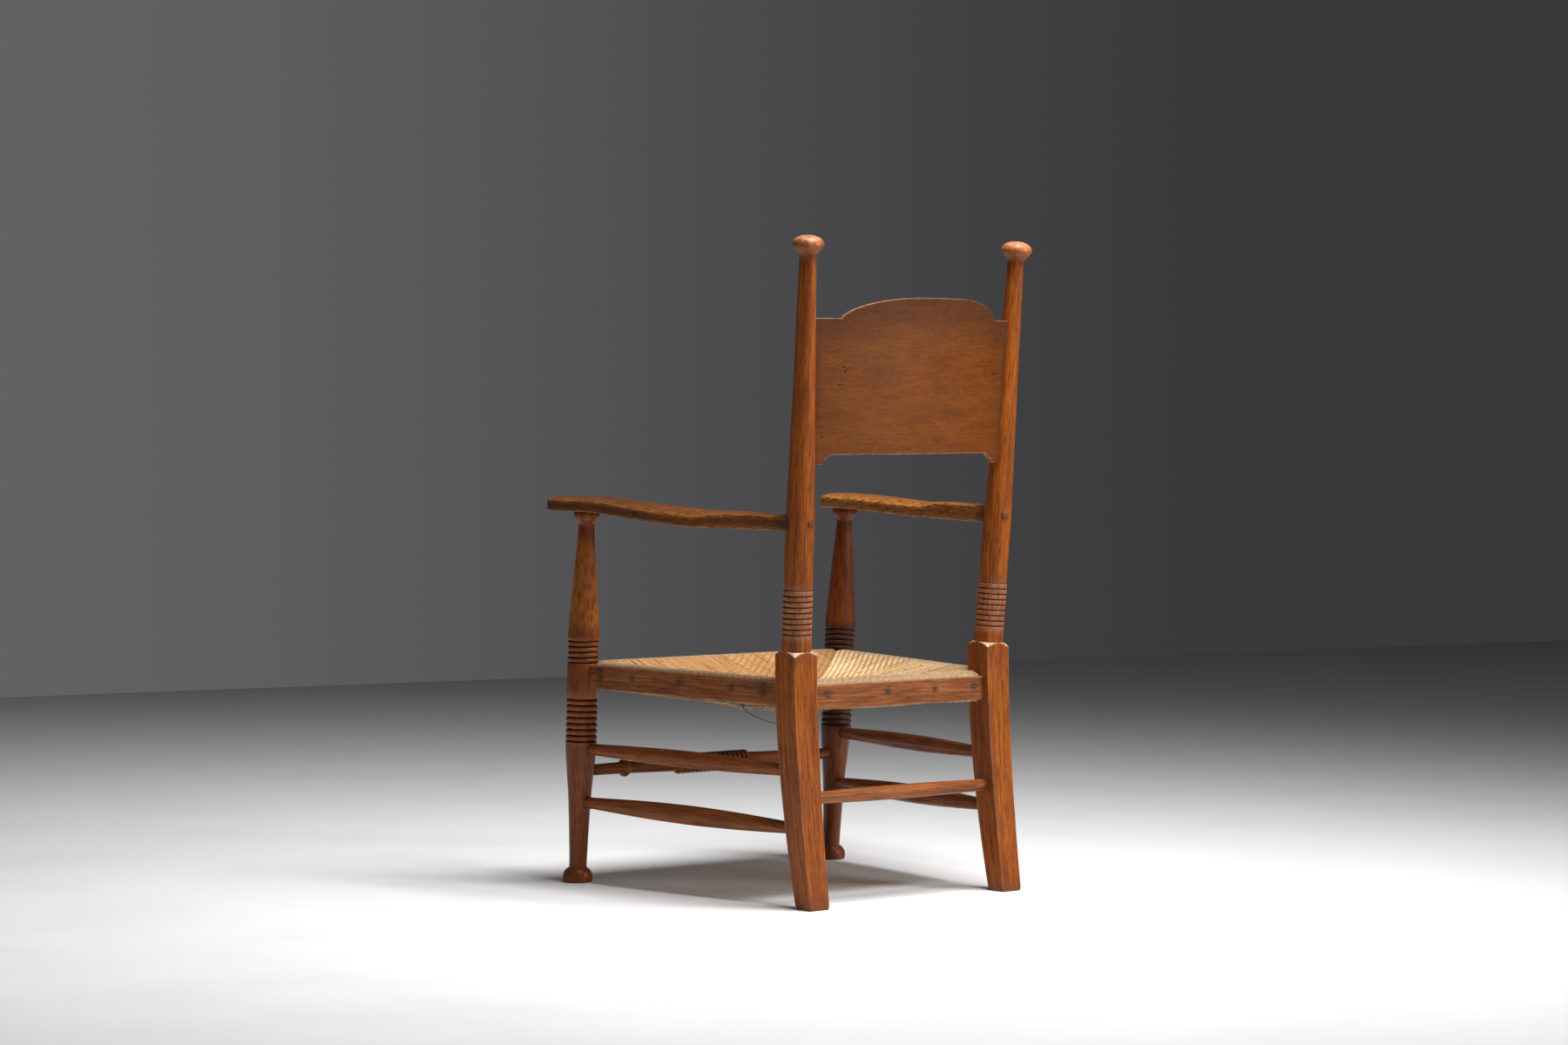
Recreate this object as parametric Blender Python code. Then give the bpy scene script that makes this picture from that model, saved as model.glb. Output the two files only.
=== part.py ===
"""Rush seat armchair: turned oak posts, bowed back panel, flat arms and a woven rush seat.

Metres, +Z up. The origin is on the floor under the middle of the chair. The sitter faces -Y and
the sitter's left is +X. Every piece is its own object; tenons sit in mortises cut from the same
sizes plus a small clearance.
"""
import math

import bmesh
import bpy
from mathutils import Matrix, Vector

# Clearance round every joint and between pieces that touch
FIT = 0.0003
SIDES = {"left": 1, "right": -1}

# Turned front posts: bun foot, vase, two sets of rings, cone and button under the arm
FRONT_FOOT_X = 0.2881
FRONT_FOOT_Y = -0.2596
FRONT_RAKE = math.radians(2.36)
FRONT_SPLAY = math.radians(0.43)
FRONT_POST_LENGTH = 0.6380
FRONT_POST_RIGHT_SHORTER = 0.0044
POST_SEGMENTS = 16
FOOT_BOTTOM_RADIUS = 0.0240
FOOT_RADIUS = 0.0260
FOOT_WIDEST_HEIGHT = 0.0067
FOOT_NECK_RADIUS = 0.0150
FOOT_HEIGHT = 0.0250
FOOT_FULLNESS = 0.55
DRUM_RADIUS = 0.0270
LOWER_RINGS_START = 0.2440
LOWER_RINGS_END = 0.3165
LOWER_RING_COUNT = 7
UPPER_RINGS_START = 0.3790
UPPER_RINGS_END = 0.4165
UPPER_RING_COUNT = 4
FRONT_RING_DEPTH = 0.0032
RING_MARGIN = 0.0018
RING_CROWN_START = 0.22
CONE_START = 0.4240
BUTTON_NECK_RADIUS = 0.0136
BUTTON_RADIUS = 0.0222
BUTTON_HEIGHT = 0.0225
BUTTON_WIDEST_DEPTH = 0.0065
BUTTON_TOP_RADIUS = 0.0195
BUTTON_FULLNESS = 1.3
BUTTON_SHOULDER_SHARE = 0.3
ARM_TENON_RADIUS = 0.0090
ARM_TENON_HEIGHT = 0.0150
# (distance up the post, radius) where the vase below the drum and the cone above it change slope
VASE_POINTS = ((0.0500, 0.0155), (0.1420, 0.0194), (0.2120, 0.0250))
CONE_POINTS = ((0.5360, 0.0192), (0.5715, 0.0160), (0.6090, 0.0137))

# Rear posts: swept square leg, square block with a rounded pommel, leaning turned post, finial
REAR_BLOCK_X = 0.2156
REAR_BLOCK_Y = 0.2262
REAR_BLOCK_SIDE = 0.0500
REAR_BLOCK_TOP = 0.4206
REAR_RAKE = math.radians(3.656)
REAR_SPLAY = math.radians(1.48)
REAR_LEG_SWEEP = 0.0463
REAR_SWEEP_START = 0.4000
REAR_SWEEP_POWER = 1.7
REAR_TAPER_START = 0.3200
REAR_FOOT_WIDTH = 0.0417
REAR_FOOT_DEPTH = 0.0381
POMMEL_HEIGHT = 0.0105
POMMEL_POWER = 2.2
COLLAR_RADIUS = 0.0248
COLLAR_GAP = 0.0020
REAR_RINGS_START = 0.0280
REAR_RINGS_END = 0.1010
REAR_RING_COUNT = 8
REAR_RING_DEPTH = 0.0018
REAR_WAIST_RADIUS = 0.0239
REAR_WAIST_END = 0.2040
FINIAL_NECK_RADIUS = 0.0139
FINIAL_RADIUS = 0.0264
FINIAL_HEIGHT = 0.0325
FINIAL_DOME_HEIGHT = 0.0155
FINIAL_FULLNESS = 1.3
CHAIR_HEIGHT = 1.1000
# (share of the way from the waist to the finial, radius) where the long taper changes slope
REAR_TAPER_POINTS = ((0.158, 0.0224), (0.484, 0.0187), (0.761, 0.0162))

# Bowed back panel, slotted into the inner sides of the rear posts
PANEL_THICKNESS = 0.0100
PANEL_SHOULDER_DROP = 0.1345
PANEL_SHOULDER_HEIGHT = CHAIR_HEIGHT - PANEL_SHOULDER_DROP
PANEL_CREST_RISE = 0.0355
PANEL_CREST_HALF_WIDTHS = {1: 0.1640, -1: 0.1735}
PANEL_CREST_POWERS = {1: 2.0, -1: 5.0}
PANEL_CREST_ROUNDNESS = 0.62
PANEL_BOTTOM_HEIGHT = 0.7420
PANEL_FOOT_DROP = 0.0165
PANEL_FOOT_LIP = 0.0035
PANEL_FOOT_START = 0.1885
PANEL_COVE_WIDTH = 0.0235
PANEL_COVE_POWER = 2.2
PANEL_BOW = 0.0270
PANEL_END_TO_AXIS = 0.0010
PANEL_PIN_BELOW_SHOULDER = 0.0915
PANEL_PIN_HEIGHT = PANEL_SHOULDER_HEIGHT - PANEL_PIN_BELOW_SHOULDER
PANEL_PIN_FROM_AXIS = 0.0055
PANEL_PIN_RADIUS = 0.0020
PANEL_PIN_LENGTH = 0.0270

# Arms: square rear stem, shaped front part with a crowned top
ARM_THICKNESS = 0.0255
ARM_REAR_HEIGHT_LEFT = 0.6178
ARM_REAR_HEIGHT_RIGHT = 0.6235
ARM_STEM_HALF_WIDTH = 0.0195
ARM_STEM_EDGE = 0.0240
ARM_STEP = 0.0018
ARM_STEP_Y = 0.0930
ARM_FRONT_HALF_WIDTH = 0.0415
ARM_FRONT_EDGE = 0.0180
ARM_FRONT_OFFSET = 0.0115
ARM_INNER_EDGE_FROM_POST = 0.0349
ARM_OVERHANG = 0.0605
ARM_FLARE_END_Y = -0.1120
ARM_EDGE_FALL_END_Y = 0.0330
ARM_FLARE_STEPS = 14
ARM_CROWN_POWER = 2.4
ARM_RISE_START_Y = 0.0500
ARM_RISE_END_Y = -0.2000
ARM_INNER_STRAIGHTNESS = 0.6
ARM_RIGHT_OUTER_STRAIGHTNESS = 0.6
ARM_RIGHT_STEM_THICKER = 0.0030
ARM_REAR_TENON_RADIUS = 0.0075
ARM_REAR_TENON_FROM_AXIS = 0.0060
ARM_SCREW_RADIUS = 0.0022
ARM_SCREW_HEAD_RADIUS = 0.0044
ARM_SCREW_HEAD_RIM = 0.0006
ARM_SCREW_HEAD_HEIGHT = 0.0032
ARM_SCREW_POINT = 0.0060
ARM_SCREW_REACH = 0.0450
ARM_PLUG_RADIUS = 0.0071
ARM_PLUG_DEPTH = 0.0080
ARM_PLUG_CROWN = 0.0006
ARM_JOINT_SEGMENTS = 12

# Seat frame and what lies on it, from the outer face of the edge strips inwards
STRIP_OUTBOARD_FRONT = 0.0104
STRIP_SETBACK_REAR = 0.0100
STRIP_THICKNESS = 0.0080
STRIP_WIDTH = 0.0400
STRIP_ABOVE_RAIL = 0.0030
RAIL_THICKNESS = 0.0180
RAIL_WIDTH = 0.0320
FRONT_RAIL_HEIGHT = 0.3565
SIDE_RAIL_REAR_HEIGHT = 0.3510
REAR_RAIL_HEIGHT = 0.3445
RAIL_TENON_THICKNESS = 0.0110
RAIL_TENON_WIDTH = 0.0140
RAIL_TENON_STAGGER = 0.0085
RAIL_TENON_LENGTH = 0.0160
RAIL_SHOULDER_GAP = 0.0010
MORTISE_OVERRUN = 0.0050
RUSH_SIDE_COVER = 0.0045
RUSH_TOP_COVER = 0.0075
RUSH_BOTTOM_COVER = 0.0070
RUSH_EDGE_ROUND = 0.0100
RUSH_DISH_HEIGHT = 0.3420
RUSH_BELLY_HEIGHT = 0.3120
RUSH_DISH_STEEPNESS = {"front": 2.2, "rear": 1.1}
RUSH_EDGE_STEPS = 8
RUSH_DISH_STEPS = 6

# Clout nails through the strips
NAIL_HEAD_RADIUS = 0.0032
NAIL_HEAD_HEIGHT = 0.0009
NAIL_RADIUS = 0.0011
NAIL_LENGTH = 0.0200
NAIL_SEGMENTS = 6
NAIL_LIFT = 0.0035
NAIL_PAIR_LIFTS = (0.0120, -0.0005)
NAIL_PAIR_SHARES = (0.053, 0.927)
SIDE_NAIL_SHARES = (0.232, 0.482, 0.763)
CROSS_NAIL_SHARES = (0.056, 0.290, 0.571, 0.918)

# Swelled stretchers
STRETCHER_SEGMENTS = 12
SWELL_STEPS = 8
STRETCHER_TIP_TO_AXIS = 0.0050
STRETCHER_END_RADIUS = 0.0099
STRETCHER_PLAIN_END = 0.0300
SIDE_UPPER_HEIGHTS = {"left": (0.2303, 0.2238), "right": (0.2294, 0.2298)}
SIDE_UPPER_RADIUS = 0.0142
SIDE_LOWER_HEIGHTS = {"left": (0.1383, 0.1295), "right": (0.1389, 0.1410)}
SIDE_LOWER_RADIUS = 0.0162
REAR_STRETCHER_HEIGHT = 0.1787
REAR_STRETCHER_RADIUS = 0.0120
FRONT_STRETCHER_HEIGHT = 0.1915
FRONT_STRETCHER_END_RADIUS = 0.0092
FRONT_STRETCHER_WAIST_RADIUS = 0.0103
FRONT_STRETCHER_SHAFT_RADIUS = 0.0127
FRONT_BEAD_OFFSET = 0.1938
FRONT_BEAD_HALF_WIDTH = 0.0070
FRONT_BEAD_RADIUS = 0.0157
FRONT_REEDS_HALF_LENGTH = 0.0790
FRONT_REED_COUNT = 16
FRONT_REED_RADIUS = 0.0176
FRONT_REED_DEPTH = 0.0028

# Loose end of the rush twine under the left rear corner: points in metres
TWINE_RADIUS = 0.0010
TWINE_POINT_STEP = 0.0050
TWINE_ROUTE = (
    (0.2320, 0.1090, 0.3274),
    (0.2321, 0.1095, 0.3250),
    (0.2326, 0.1189, 0.3159),
    (0.2294, 0.1399, 0.3083),
    (0.2254, 0.1670, 0.3012),
    (0.2215, 0.1860, 0.2995),
    (0.2150, 0.1930, 0.3005),
    (0.2060, 0.1900, 0.3060),
    (0.1980, 0.1815, 0.3150),
    (0.1960, 0.1792, 0.3215),
    (0.1960, 0.1790, 0.3237),
)

MATERIAL_LOOKS = {
    "oak_posts": ((0.30, 0.125, 0.035, 1.0), 0.38, 0.0),
    "oak_arms": ((0.27, 0.110, 0.032, 1.0), 0.36, 0.0),
    "oak_panel": ((0.26, 0.110, 0.036, 1.0), 0.42, 0.0),
    "oak_strips": ((0.25, 0.105, 0.038, 1.0), 0.50, 0.0),
    "rail_wood": ((0.42, 0.270, 0.130, 1.0), 0.70, 0.0),
    "rush": ((0.62, 0.440, 0.190, 1.0), 0.75, 0.0),
    "twine": ((0.34, 0.190, 0.075, 1.0), 0.80, 0.0),
    "iron": ((0.10, 0.085, 0.075, 1.0), 0.45, 0.8),
}


def clear_scene():
    for old in list(bpy.data.objects):
        bpy.data.objects.remove(old, do_unlink=True)


def make_material(name):
    colour, roughness, metallic = MATERIAL_LOOKS[name]
    material = bpy.data.materials.new(name)
    material.use_nodes = True
    shader = material.node_tree.nodes["Principled BSDF"]
    shader.inputs["Base Color"].default_value = colour
    shader.inputs["Roughness"].default_value = roughness
    shader.inputs["Metallic"].default_value = metallic
    material.diffuse_color = colour
    return material


def add_object(name, mesh, chair, material=None, matrix=None):
    obj = bpy.data.objects.new(name, mesh)
    bpy.context.scene.collection.objects.link(obj)
    obj.parent = chair
    if matrix is not None:
        obj.matrix_world = matrix
    if material is not None:
        mesh.materials.clear()
        mesh.materials.append(make_material(material))
    return obj


def finish_mesh(name, bm, smooth_angle=35.0):
    bmesh.ops.recalc_face_normals(bm, faces=bm.faces)
    mesh = bpy.data.meshes.new(name)
    bm.to_mesh(mesh)
    bm.free()
    mesh.shade_smooth()
    mesh.set_sharp_from_angle(angle=math.radians(smooth_angle))
    return mesh


def loft(name, rings, smooth_angle=35.0):
    """Closed skin through rings of equal point count, with a flat face on both ends."""
    bm = bmesh.new()
    loops = [[bm.verts.new(point) for point in ring] for ring in rings]
    count = len(rings[0])
    for lower, upper in zip(loops, loops[1:]):
        for i in range(count):
            j = (i + 1) % count
            bm.faces.new((lower[i], lower[j], upper[j], upper[i]))
    bm.faces.new(list(reversed(loops[0])))
    bm.faces.new(loops[-1])
    return finish_mesh(name, bm, smooth_angle)


def turned(name, profile, segments):
    """Solid of revolution about local Z from (radius, height) points, bottom to top."""
    bm = bmesh.new()
    points = [(0.0, profile[0][1])] + list(profile) + [(0.0, profile[-1][1])]
    verts = [bm.verts.new((radius, 0.0, height)) for radius, height in points]
    edges = [bm.edges.new(pair) for pair in zip(verts, verts[1:])]
    bmesh.ops.spin(
        bm,
        geom=verts + edges,
        cent=(0.0, 0.0, 0.0),
        axis=(0.0, 0.0, 1.0),
        angle=math.tau,
        steps=segments,
        use_merge=True,
    )
    bmesh.ops.remove_doubles(bm, verts=bm.verts, dist=1e-6)
    return finish_mesh(name, bm)


def box_mesh(name, low, high):
    rings = [
        [Vector((x, y, z)) for x, y in ((low[0], low[1]), (high[0], low[1]),
                                        (high[0], high[1]), (low[0], high[1]))]
        for z in (low[2], high[2])
    ]
    return loft(name, rings)


def frame_along(origin, direction):
    """Matrix that puts local Z along a direction, with local Y kept as level as it can be."""
    turn = direction.to_track_quat("Z", "Y")
    return Matrix.Translation(origin) @ turn.to_matrix().to_4x4()


def add_cutter(name, mesh, chair, matrix):
    cutter = add_object(name, mesh, chair, matrix=matrix)
    cutter.display_type = "WIRE"
    cutter.hide_render = True
    return cutter


def boolean(obj, cutter, operation="DIFFERENCE"):
    modifier = obj.modifiers.new(f"{operation.title()} {cutter.name}", "BOOLEAN")
    modifier.operation = operation
    modifier.solver = "EXACT"
    modifier.object = cutter


def blend(start, end, value):
    """Smooth step from 0 at start to 1 at end."""
    share = min(1.0, max(0.0, (value - start) / (end - start)))
    return share * share * (3.0 - 2.0 * share)


def lean(side, splay, rake):
    return Vector((side * math.tan(splay), math.tan(rake), 1.0)).normalized()


def front_axis(side, height):
    """Point of a front post's axis at a height above the floor."""
    direction = lean(side, FRONT_SPLAY, FRONT_RAKE)
    foot = Vector((side * FRONT_FOOT_X, FRONT_FOOT_Y, 0.0))
    return foot + direction * (height / direction.z)


def rear_axis(side, height):
    """Point of a rear post's turned axis at a height above the floor."""
    direction = lean(side, REAR_SPLAY, REAR_RAKE)
    base = Vector((side * REAR_BLOCK_X, REAR_BLOCK_Y, REAR_BLOCK_TOP))
    return base + direction * ((height - REAR_BLOCK_TOP) / direction.z)


def rear_leg_centre(side, height):
    share = max(0.0, (REAR_SWEEP_START - height) / REAR_SWEEP_START)
    back = REAR_LEG_SWEEP * share ** REAR_SWEEP_POWER
    return Vector((side * REAR_BLOCK_X, REAR_BLOCK_Y + back, height))


def rear_leg_half_sizes(height):
    """Half width and half depth of the square leg."""
    share = max(0.0, (REAR_TAPER_START - height) / REAR_TAPER_START)
    width = REAR_BLOCK_SIDE - (REAR_BLOCK_SIDE - REAR_FOOT_WIDTH) * share
    depth = REAR_BLOCK_SIDE - (REAR_BLOCK_SIDE - REAR_FOOT_DEPTH) * share * share
    return width / 2, depth / 2


def ring_profile(start, end, count, radius, depth):
    """Beads between grooves: each bead has two crown points, each groove one."""
    pitch = (end - start) / count
    points = [(radius - depth, start)]
    for i in range(count):
        low = start + i * pitch
        points.append((radius, low + pitch * RING_CROWN_START))
        points.append((radius, low + pitch * (1.0 - RING_CROWN_START)))
        points.append((radius - depth, low + pitch))
    return points


def swell(wide, narrow, start, end, steps, fullness):
    """(radius, height) from a widest ring at start, rounding in to a neck at end."""
    points = []
    for i in range(steps + 1):
        share = i / steps
        radius = narrow + (wide - narrow) * math.cos(math.pi / 2 * share) ** fullness
        points.append((radius, start + (end - start) * share))
    return points


def circle_ring(centre, direction, radius, count=POST_SEGMENTS):
    """Points of a circle square to a direction, numbered from +X round to +Y."""
    across = Vector((1.0, 0.0, 0.0))
    across = (across - direction * across.dot(direction)).normalized()
    along = direction.cross(across)
    ring = []
    for i in range(count):
        angle = math.tau * i / count
        ring.append(centre + (across * math.cos(angle) + along * math.sin(angle)) * radius)
    return ring


def square_ring(centre, half_width, half_depth, corner_radius=None, count=POST_SEGMENTS):
    """Points round a level rectangle, its corners cut back to a radius where one is given."""
    ring = []
    for i in range(count):
        angle = math.tau * i / count
        dx, dy = math.cos(angle), math.sin(angle)
        reach = max(abs(dx), abs(dy))
        x, y = dx / reach * half_width, dy / reach * half_depth
        length = math.hypot(x, y)
        if corner_radius is not None and length > corner_radius:
            x, y = x * corner_radius / length, y * corner_radius / length
        ring.append(centre + Vector((x, y, 0.0)))
    return ring


def front_post_length(side):
    """The right front post is a little shorter than the left one."""
    return FRONT_POST_LENGTH - (FRONT_POST_RIGHT_SHORTER if side < 0 else 0.0)


def front_post_profile(length):
    """(radius, distance up the post) above the foot's lowest edge, up to the button's top."""
    neck = length - BUTTON_HEIGHT
    profile = swell(
        FOOT_RADIUS, FOOT_NECK_RADIUS, FOOT_WIDEST_HEIGHT, FOOT_HEIGHT, 4, FOOT_FULLNESS)
    profile += [(radius, distance) for distance, radius in VASE_POINTS]
    profile.append((DRUM_RADIUS, LOWER_RINGS_START - RING_MARGIN))
    profile += ring_profile(
        LOWER_RINGS_START, LOWER_RINGS_END, LOWER_RING_COUNT, DRUM_RADIUS, FRONT_RING_DEPTH)
    profile.append((DRUM_RADIUS, LOWER_RINGS_END + RING_MARGIN))
    profile.append((DRUM_RADIUS, UPPER_RINGS_START - RING_MARGIN))
    profile += ring_profile(
        UPPER_RINGS_START, UPPER_RINGS_END, UPPER_RING_COUNT, DRUM_RADIUS, FRONT_RING_DEPTH)
    profile += [(DRUM_RADIUS, UPPER_RINGS_END + RING_MARGIN), (DRUM_RADIUS, CONE_START)]
    profile += [(radius, distance) for distance, radius in CONE_POINTS]
    profile += reversed(swell(
        BUTTON_RADIUS, BUTTON_NECK_RADIUS, length - BUTTON_WIDEST_DEPTH, neck, 4,
        BUTTON_FULLNESS))
    profile.append(((BUTTON_RADIUS + BUTTON_TOP_RADIUS) / 2,
                    length - BUTTON_WIDEST_DEPTH * BUTTON_SHOULDER_SHARE))
    return profile


def make_front_post(name, side, chair):
    direction = lean(side, FRONT_SPLAY, FRONT_RAKE)
    foot = Vector((side * FRONT_FOOT_X, FRONT_FOOT_Y, 0.0))
    level = Vector((0.0, 0.0, 1.0))
    rings = [circle_ring(Vector(), level, FOOT_BOTTOM_RADIUS)]
    for radius, distance in front_post_profile(front_post_length(side)):
        rings.append(circle_ring(direction * distance, direction, radius))
    top = direction * front_post_length(side)
    rings.append(circle_ring(top, level, BUTTON_TOP_RADIUS))
    rings.append(circle_ring(top, level, ARM_TENON_RADIUS))
    rings.append(circle_ring(top + direction * ARM_TENON_HEIGHT, level, ARM_TENON_RADIUS))
    mesh = loft(name, rings)
    return add_object(name, mesh, chair, "oak_posts", Matrix.Translation(foot))


def rear_post_profile():
    """(radius, distance up the leaning axis) from the collar to the finial's crown."""
    length = (CHAIR_HEIGHT - REAR_BLOCK_TOP) / lean(1, REAR_SPLAY, REAR_RAKE).z
    widest = length - FINIAL_DOME_HEIGHT
    profile = [(COLLAR_RADIUS, COLLAR_GAP), (COLLAR_RADIUS, REAR_RINGS_START - RING_MARGIN)]
    profile += ring_profile(
        REAR_RINGS_START, REAR_RINGS_END, REAR_RING_COUNT, COLLAR_RADIUS, REAR_RING_DEPTH)
    profile.append((REAR_WAIST_RADIUS, REAR_RINGS_END + RING_MARGIN))
    profile.append((REAR_WAIST_RADIUS, REAR_WAIST_END))
    neck = length - FINIAL_HEIGHT
    profile += [(radius, REAR_WAIST_END + (neck - REAR_WAIST_END) * share)
                for share, radius in REAR_TAPER_POINTS]
    profile += reversed(swell(FINIAL_RADIUS, FINIAL_NECK_RADIUS, widest, neck, 5, FINIAL_FULLNESS))
    for degrees in (22, 45, 65, 80):
        angle = math.radians(degrees)
        profile.append((FINIAL_RADIUS * math.cos(angle),
                        widest + FINIAL_DOME_HEIGHT * math.sin(angle)))
    return profile


def rear_post_radius(height):
    """Radius of a rear post at a height above the floor."""
    distance = (height - REAR_BLOCK_TOP) / lean(1, REAR_SPLAY, REAR_RAKE).z
    profile = rear_post_profile()
    for (radius_a, low), (radius_b, high) in zip(profile, profile[1:]):
        if low <= distance <= high:
            return radius_a + (radius_b - radius_a) * (distance - low) / (high - low)
    raise ValueError(f"no turned post at height {height}")


def make_rear_post(name, side, chair):
    foot = rear_leg_centre(side, 0.0)
    rings = []
    for share in (0.0, 0.1, 0.2, 0.33, 0.46, 0.6, 0.73, 0.86):
        height = (REAR_BLOCK_TOP - POMMEL_HEIGHT) * share
        half_width, half_depth = rear_leg_half_sizes(height)
        rings.append(square_ring(rear_leg_centre(side, height) - foot, half_width, half_depth))
    half = REAR_BLOCK_SIDE / 2
    corner = half * math.sqrt(2.0)
    direction = lean(side, REAR_SPLAY, REAR_RAKE)
    for share in (1.0, 0.62, 0.36, 0.14, 0.0):
        height = REAR_BLOCK_TOP - POMMEL_HEIGHT * share
        radius = half + (corner - half) * (1.0 - (1.0 - share) ** POMMEL_POWER)
        centre = rear_leg_centre(side, height) - foot
        ring = square_ring(centre, half, half, radius)
        for point in ring:
            away = point - centre
            point.z -= (away.x * direction.x + away.y * direction.y) / direction.z
        rings.append(ring)
    base = rear_axis(side, REAR_BLOCK_TOP) - foot
    for radius, distance in rear_post_profile():
        rings.append(circle_ring(base + direction * distance, direction, radius))
    mesh = loft(name, rings)
    return add_object(name, mesh, chair, "oak_posts", Matrix.Translation(foot))


def panel_columns(side):
    """Distances from the middle at which the panel's section is drawn, for one half."""
    crest, foot, cove = PANEL_CREST_HALF_WIDTHS[side], PANEL_FOOT_START, PANEL_COVE_WIDTH
    columns = [crest * share for share in (0.0, 0.21, 0.41, 0.58, 0.73, 0.85, 0.93, 0.973, 0.993)]
    columns += [crest] + [foot - cove * share for share in (1.0, 0.62, 0.36, 0.15)]
    columns += [foot, foot + FIT]
    return sorted(columns)


def panel_end(height):
    return rear_axis(1, height).x - PANEL_END_TO_AXIS


def panel_curve(x):
    """How far back the panel's middle surface lies at x, straight beyond the last column."""
    end = panel_end(PANEL_PIN_HEIGHT)
    foot = PANEL_FOOT_START + FIT
    if abs(x) <= foot:
        return PANEL_BOW * (1.0 - (x / end) ** 2)
    return PANEL_BOW * (1.0 - (foot / end) ** 2) * (end - abs(x)) / (end - foot)


def panel_normal(x):
    end = panel_end(PANEL_PIN_HEIGHT)
    foot = PANEL_FOOT_START + FIT
    slope = -2.0 * PANEL_BOW * x / end ** 2
    if abs(x) > foot:
        slope = math.copysign(panel_curve(foot) / (end - foot), -x)
    return Vector((-slope, 1.0, 0.0)).normalized()


def panel_point(x, height, offset):
    """Point of the panel; offset is square to its middle surface in plan."""
    middle = Vector((x, rear_axis(1, height).y + panel_curve(x), height))
    return middle + panel_normal(x) * offset


def panel_top(x):
    """Height of the crest over the flat shoulders; it was cut fuller on the sitter's right."""
    side = 1 if x > 0.0 else -1
    share = min(1.0, abs(x) / PANEL_CREST_HALF_WIDTHS[side])
    fullness = (1.0 - share ** PANEL_CREST_POWERS[side]) ** PANEL_CREST_ROUNDNESS
    return PANEL_SHOULDER_HEIGHT + PANEL_CREST_RISE * fullness


def panel_bottom(x):
    """Lower edge, swept down at both ends in a hollow cove that ends in a small lip."""
    inside = PANEL_FOOT_START - abs(x)
    if inside < 0.0:
        return PANEL_BOTTOM_HEIGHT - PANEL_FOOT_DROP
    if inside >= PANEL_COVE_WIDTH:
        return PANEL_BOTTOM_HEIGHT
    share = 1.0 - inside / PANEL_COVE_WIDTH
    return PANEL_BOTTOM_HEIGHT - (PANEL_FOOT_DROP - PANEL_FOOT_LIP) * share ** PANEL_COVE_POWER


def panel_ring(x_low, x_high, grow):
    """Section of the panel at one column, which may lean with the post."""
    low, high = panel_bottom(x_low) - grow, panel_top(x_high) + grow
    thick = PANEL_THICKNESS / 2 + grow
    return [
        panel_point(x_low, low, -thick),
        panel_point(x_high, high, -thick),
        panel_point(x_high, high, thick),
        panel_point(x_low, low, thick),
    ]


def panel_mesh(name, grow):
    """Bowed board as columns across its width; grow thickens it all round for the slots."""
    end_low = panel_end(PANEL_BOTTOM_HEIGHT - PANEL_FOOT_DROP) + grow
    end_high = panel_end(PANEL_SHOULDER_HEIGHT) + grow
    rings = [panel_ring(-end_low, -end_high, grow)]
    rings += [panel_ring(-x, -x, grow) for x in reversed(panel_columns(-1)[1:])]
    rings += [panel_ring(x, x, grow) for x in panel_columns(1)]
    rings.append(panel_ring(end_low, end_high, grow))
    return loft(name, rings)


def make_panel(posts, chair):
    panel = add_object("back_panel", panel_mesh("back_panel", 0.0), chair, "oak_panel")
    slot = add_cutter("panel_slots", panel_mesh("panel_slots", FIT), chair, Matrix())
    for post in posts.values():
        boolean(post, slot)
    for word, side in SIDES.items():
        axis = rear_axis(side, PANEL_PIN_HEIGHT)
        middle = panel_point(axis.x - side * PANEL_PIN_FROM_AXIS, PANEL_PIN_HEIGHT, 0.0)
        inward = -panel_normal(middle.x)
        away = math.sqrt(rear_post_radius(PANEL_PIN_HEIGHT) ** 2 - PANEL_PIN_FROM_AXIS ** 2)
        head = middle - inward * (away - (middle.y - axis.y))
        matrix = frame_along(head, inward)
        profile = [(PANEL_PIN_RADIUS, 0.0), (PANEL_PIN_RADIUS, PANEL_PIN_LENGTH)]
        pin = turned("panel_pin", profile, NAIL_SEGMENTS)
        add_object(f"panel_pin_{word}", pin, chair, "iron", matrix)
        hole = [(PANEL_PIN_RADIUS + FIT, -PANEL_PIN_LENGTH / 2),
                (PANEL_PIN_RADIUS + FIT, PANEL_PIN_LENGTH + FIT)]
        cutter = add_cutter(
            f"panel_pin_hole_{word}", turned("panel_pin_hole", hole, NAIL_SEGMENTS), chair, matrix)
        boolean(panel, cutter)
        boolean(posts[word], cutter)
    return panel


def arm_rear_height(side):
    """Underside of the arm at its rear post; the two were fitted a little apart."""
    return ARM_REAR_HEIGHT_LEFT if side > 0 else ARM_REAR_HEIGHT_RIGHT


def arm_centre(side, y):
    """Plan position of the arm's setting-out line, straight from the rear post to the front."""
    rear = rear_axis(side, arm_rear_height(side) + ARM_THICKNESS / 2)
    front = front_axis(side, front_post_length(side))
    front = Vector((front.x + side * ARM_FRONT_OFFSET, front.y))
    share = (rear.y - y) / (rear.y - front.y)
    return rear.x + (front.x - rear.x) * share


def arm_front_height(side):
    rise = front_post_length(side) * lean(side, FRONT_SPLAY, FRONT_RAKE).z
    return front_axis(side, 0.0).z + rise + FIT


def arm_inner_edge(side, y):
    """The arm's inner edge is one straight line from the rear post to the rounded front."""
    rear = rear_axis(side, arm_rear_height(side) + ARM_THICKNESS / 2)
    front = front_axis(side, front_post_length(side))
    start = rear.x - side * ARM_STEM_HALF_WIDTH
    end = front.x - side * ARM_INNER_EDGE_FROM_POST
    return start + (end - start) * (rear.y - y) / (rear.y - front.y)


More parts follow.
